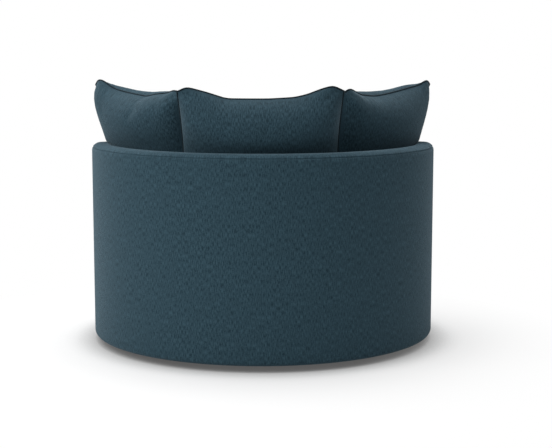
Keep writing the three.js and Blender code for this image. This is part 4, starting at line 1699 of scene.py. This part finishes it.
    def build(self) -> Pieces:
        """Builds the cushion and its two pipings.

        Returns:
            The three pieces.
        """
        rings, spots = self.rings()
        faces = ring_faces(len(rings), len(rings[0]))
        piece = mesh_piece("seat_cushion_fabric", np.concatenate(rings), faces)
        lay_cloth_map(piece, np.concatenate(spots))
        mend(piece, self.merge)
        self.crown(piece)
        bpy.ops.object.shade_smooth()
        SHADED_CUSHION_FABRIC.paint(piece)
        install(piece, Body.SEAT, Slot.CUSHION, "seat_cushion_cover", "seat_cushion_core")
        upper = self.piping("upper", self.top.edge_height - self.upper_piping_drop)
        lower = self.piping("lower", self.bottom + self.piping_radius + self.lower_piping_gap)
        return [piece, upper, lower]


# Frame nodes that keep their own meshes


@dataclass
class Carcass:
    """The frame's own timber, board, metal and plastic, which only gets its finishes."""

    nodes: dict[str, bpy.types.Object]

    def finish_of(self, name: str) -> Finish:
        """The finish for a node.

        Args:
            name: the node's name.

        Returns:
            Its finish.
        """
        if "screw" in name:
            return ZINC
        if name.startswith("glide"):
            return BLACK_PLASTIC
        if name.startswith("seat_spring") or name == "ball_cage":
            return SPRING_STEEL
        if name.startswith("turntable"):
            return ALUMINIUM
        if name.endswith("panel"):
            return FIBREBOARD
        if name in ("floor_disc", "base_board", "seat_ring", "skirt_ring"):
            return PLYWOOD
        return TIMBER

    def dress(self) -> None:
        """Paints every node that is still shown."""
        for name, node in self.nodes.items():
            if not node.hide_render:
                self.finish_of(name).paint(node)


# Camera, lights and floor


@dataclass(frozen=True)
class Lamp:
    """A soft area lamp."""

    name: str
    place: Place
    watts: float
    size: float
    aim: Place = (0, 0, 0.45)

    def hang(self) -> None:
        """Adds the lamp to the scene."""
        data = bpy.data.lights.new(self.name, "AREA")
        data.energy = self.watts
        data.shape = "DISK"
        data.size = self.size
        lamp = bpy.data.objects.new(self.name, data)
        bpy.context.collection.objects.link(lamp)
        lamp.location = self.place
        lamp.rotation_mode = "QUATERNION"
        lamp.rotation_quaternion = (Vector(self.aim) - Vector(self.place)).to_track_quat("-Z", "Y")


@dataclass
class Studio:
    """The photograph's viewpoint, a pale floor and soft light.

    The focal length and the photograph's width are in pixels.
    The floor's colour and its white glow are painted darker near the chair by an ambient-occlusion mask, as
    painted shade within the reach of its contact shadow.
    """

    distance: float = 4.2
    eye_height: float = 0.918
    sensor_width: float = 36.0
    photo_width: float = 552.0
    focal_length: float = 1183.5
    view_depth: float = 100.0
    pitch: float = math.radians(7.1)
    yaw: float = math.radians(0.625)
    world_light: float = 0.46
    floor_size: float = 40.0
    floor_glow: float = 0.36
    floor_fade: tuple[float, float] = (0.5, 1.3)
    floor_middle: Place = (0.12, 0.2, 0)
    contact: float = 0.12
    painted_shade_samples: int = 8
    painted_shade_spread: tuple[float, float] = (0.28, 0.92)
    shaded_and_open_floor_tones: tuple[float, float] = (0.33, 0.92)
    glow_shade_spread: tuple[float, float] = (0.2, 0.92)
    glow_in_painted_shade: float = 0.26
    lamps: tuple[Lamp, ...] = (
        Lamp("key", (3.0, 2.3, 3.3), 134.0, 3.8),
        Lamp("overhead", (0.2, -0.7, 3.6), 84.0, 3.0),
    )

    def camera(self) -> None:
        """Adds the camera."""
        data = bpy.data.cameras.new("camera")
        data.sensor_width = self.sensor_width
        data.lens = self.sensor_width * (self.focal_length / self.photo_width)
        data.clip_end = self.view_depth
        camera = bpy.data.objects.new("camera", data)
        bpy.context.collection.objects.link(camera)
        camera.location = (0, self.distance, self.eye_height)
        level = math.cos(self.pitch)
        forward = Vector((-math.sin(self.yaw) * level, -math.cos(self.yaw) * level, -math.sin(self.pitch)))
        camera.rotation_mode = "QUATERNION"
        camera.rotation_quaternion = forward.to_track_quat("-Z", "Y")
        bpy.context.scene.camera = camera

    def seen(self, tree: NodeTree) -> bpy.types.NodeSocket:
        """Tells rays that show the background: from the camera, off a gloss, or through glass.

        Args:
            tree: the tree to add the nodes to.

        Returns:
            1 for such a ray and 0 for any other.
        """
        path = tree.node("ShaderNodeLightPath")
        straight = tree.math("MAXIMUM", path.outputs["Is Camera Ray"], path.outputs["Is Glossy Ray"])
        return tree.math("MAXIMUM", straight, path.outputs["Is Transmission Ray"])

    def world(self) -> None:
        """Gives the world a soft light and a white background."""
        world = bpy.data.worlds.new("studio")
        world.use_nodes = True
        bpy.context.scene.world = world
        tree = NodeTree(world.node_tree)
        strength = tree.spread(self.seen(tree), 0.0, 1.0, self.world_light, 1.0)
        tree.feed(world.node_tree.nodes["Background"], {"Color": (1, 1, 1, 1), "Strength": strength})

    def floor_material(self) -> bpy.types.Material:
        """The floor's material: pale, with a soft contact shadow painted into its colour and glow by an
        ambient-occlusion mask, and plain white away from the chair.

        Returns:
            The material.
        """
        made = bpy.data.materials.new("floor")
        made.use_nodes = True
        tree = NodeTree(made.node_tree)
        shader = made.node_tree.nodes["Principled BSDF"]
        # Painted shade: an ambient-occlusion mask darkens the floor's base colour next to the chair.
        near = tree.node("ShaderNodeAmbientOcclusion", {"Distance": self.contact},
                         samples=self.painted_shade_samples)
        unshaded_share = near.outputs["AO"]
        pale = tree.spread(unshaded_share, *self.painted_shade_spread, *self.shaded_and_open_floor_tones)
        tree.feed(shader, {"Base Color": pale, "Roughness": 0.9, "Specular IOR Level": 0.1})
        place = tree.object_place()
        length = tree.node("ShaderNodeVectorMath", {0: place, 1: self.floor_middle}, operation="DISTANCE")
        away = tree.spread(length.outputs["Value"], *self.floor_fade, self.floor_glow, 1.0)
        # Painted shade: the same mask dims the floor's white glow next to the chair.
        glow = tree.spread(unshaded_share, *self.glow_shade_spread, self.glow_in_painted_shade)
        white = tree.node("ShaderNodeEmission", {"Color": (1, 1, 1, 1), "Strength": glow})
        share = tree.math("MULTIPLY", away, self.seen(tree))
        mixed = tree.node("ShaderNodeMixShader", {0: share, 1: shader.outputs[0], 2: white.outputs[0]})
        tree.feed(made.node_tree.nodes["Material Output"], {"Surface": mixed.outputs[0]})
        return made

    def floor(self) -> None:
        """Adds the floor."""
        deselect()
        bpy.ops.mesh.primitive_plane_add(size=self.floor_size)
        floor = bpy.context.object
        floor.name = "floor"
        floor.data.materials.append(self.floor_material())

    def build(self) -> None:
        """Sets up the view, the lights and the floor."""
        bpy.context.scene.view_settings.view_transform = "Standard"
        self.camera()
        self.world()
        self.floor()
        for lamp in self.lamps:
            lamp.hang()


def main() -> None:
    """Builds the studio, the tub's upholstery and the cushions, and dresses the frame's nodes."""
    logging.basicConfig(level=logging.INFO, format="%(name)s: %(message)s")
    Studio().build()
    cushions = [BackCushion(size) for size in (CENTRE, LEFT, RIGHT)]
    for assembly in (Upholstery(), SeatCushion(), *cushions):
        for piece in assembly.build():
            LOG.info("%s has %d faces", piece.name, len(piece.data.polygons))
    Carcass(frame["nodes"]).dress()


if __name__ == "__main__":
    main()
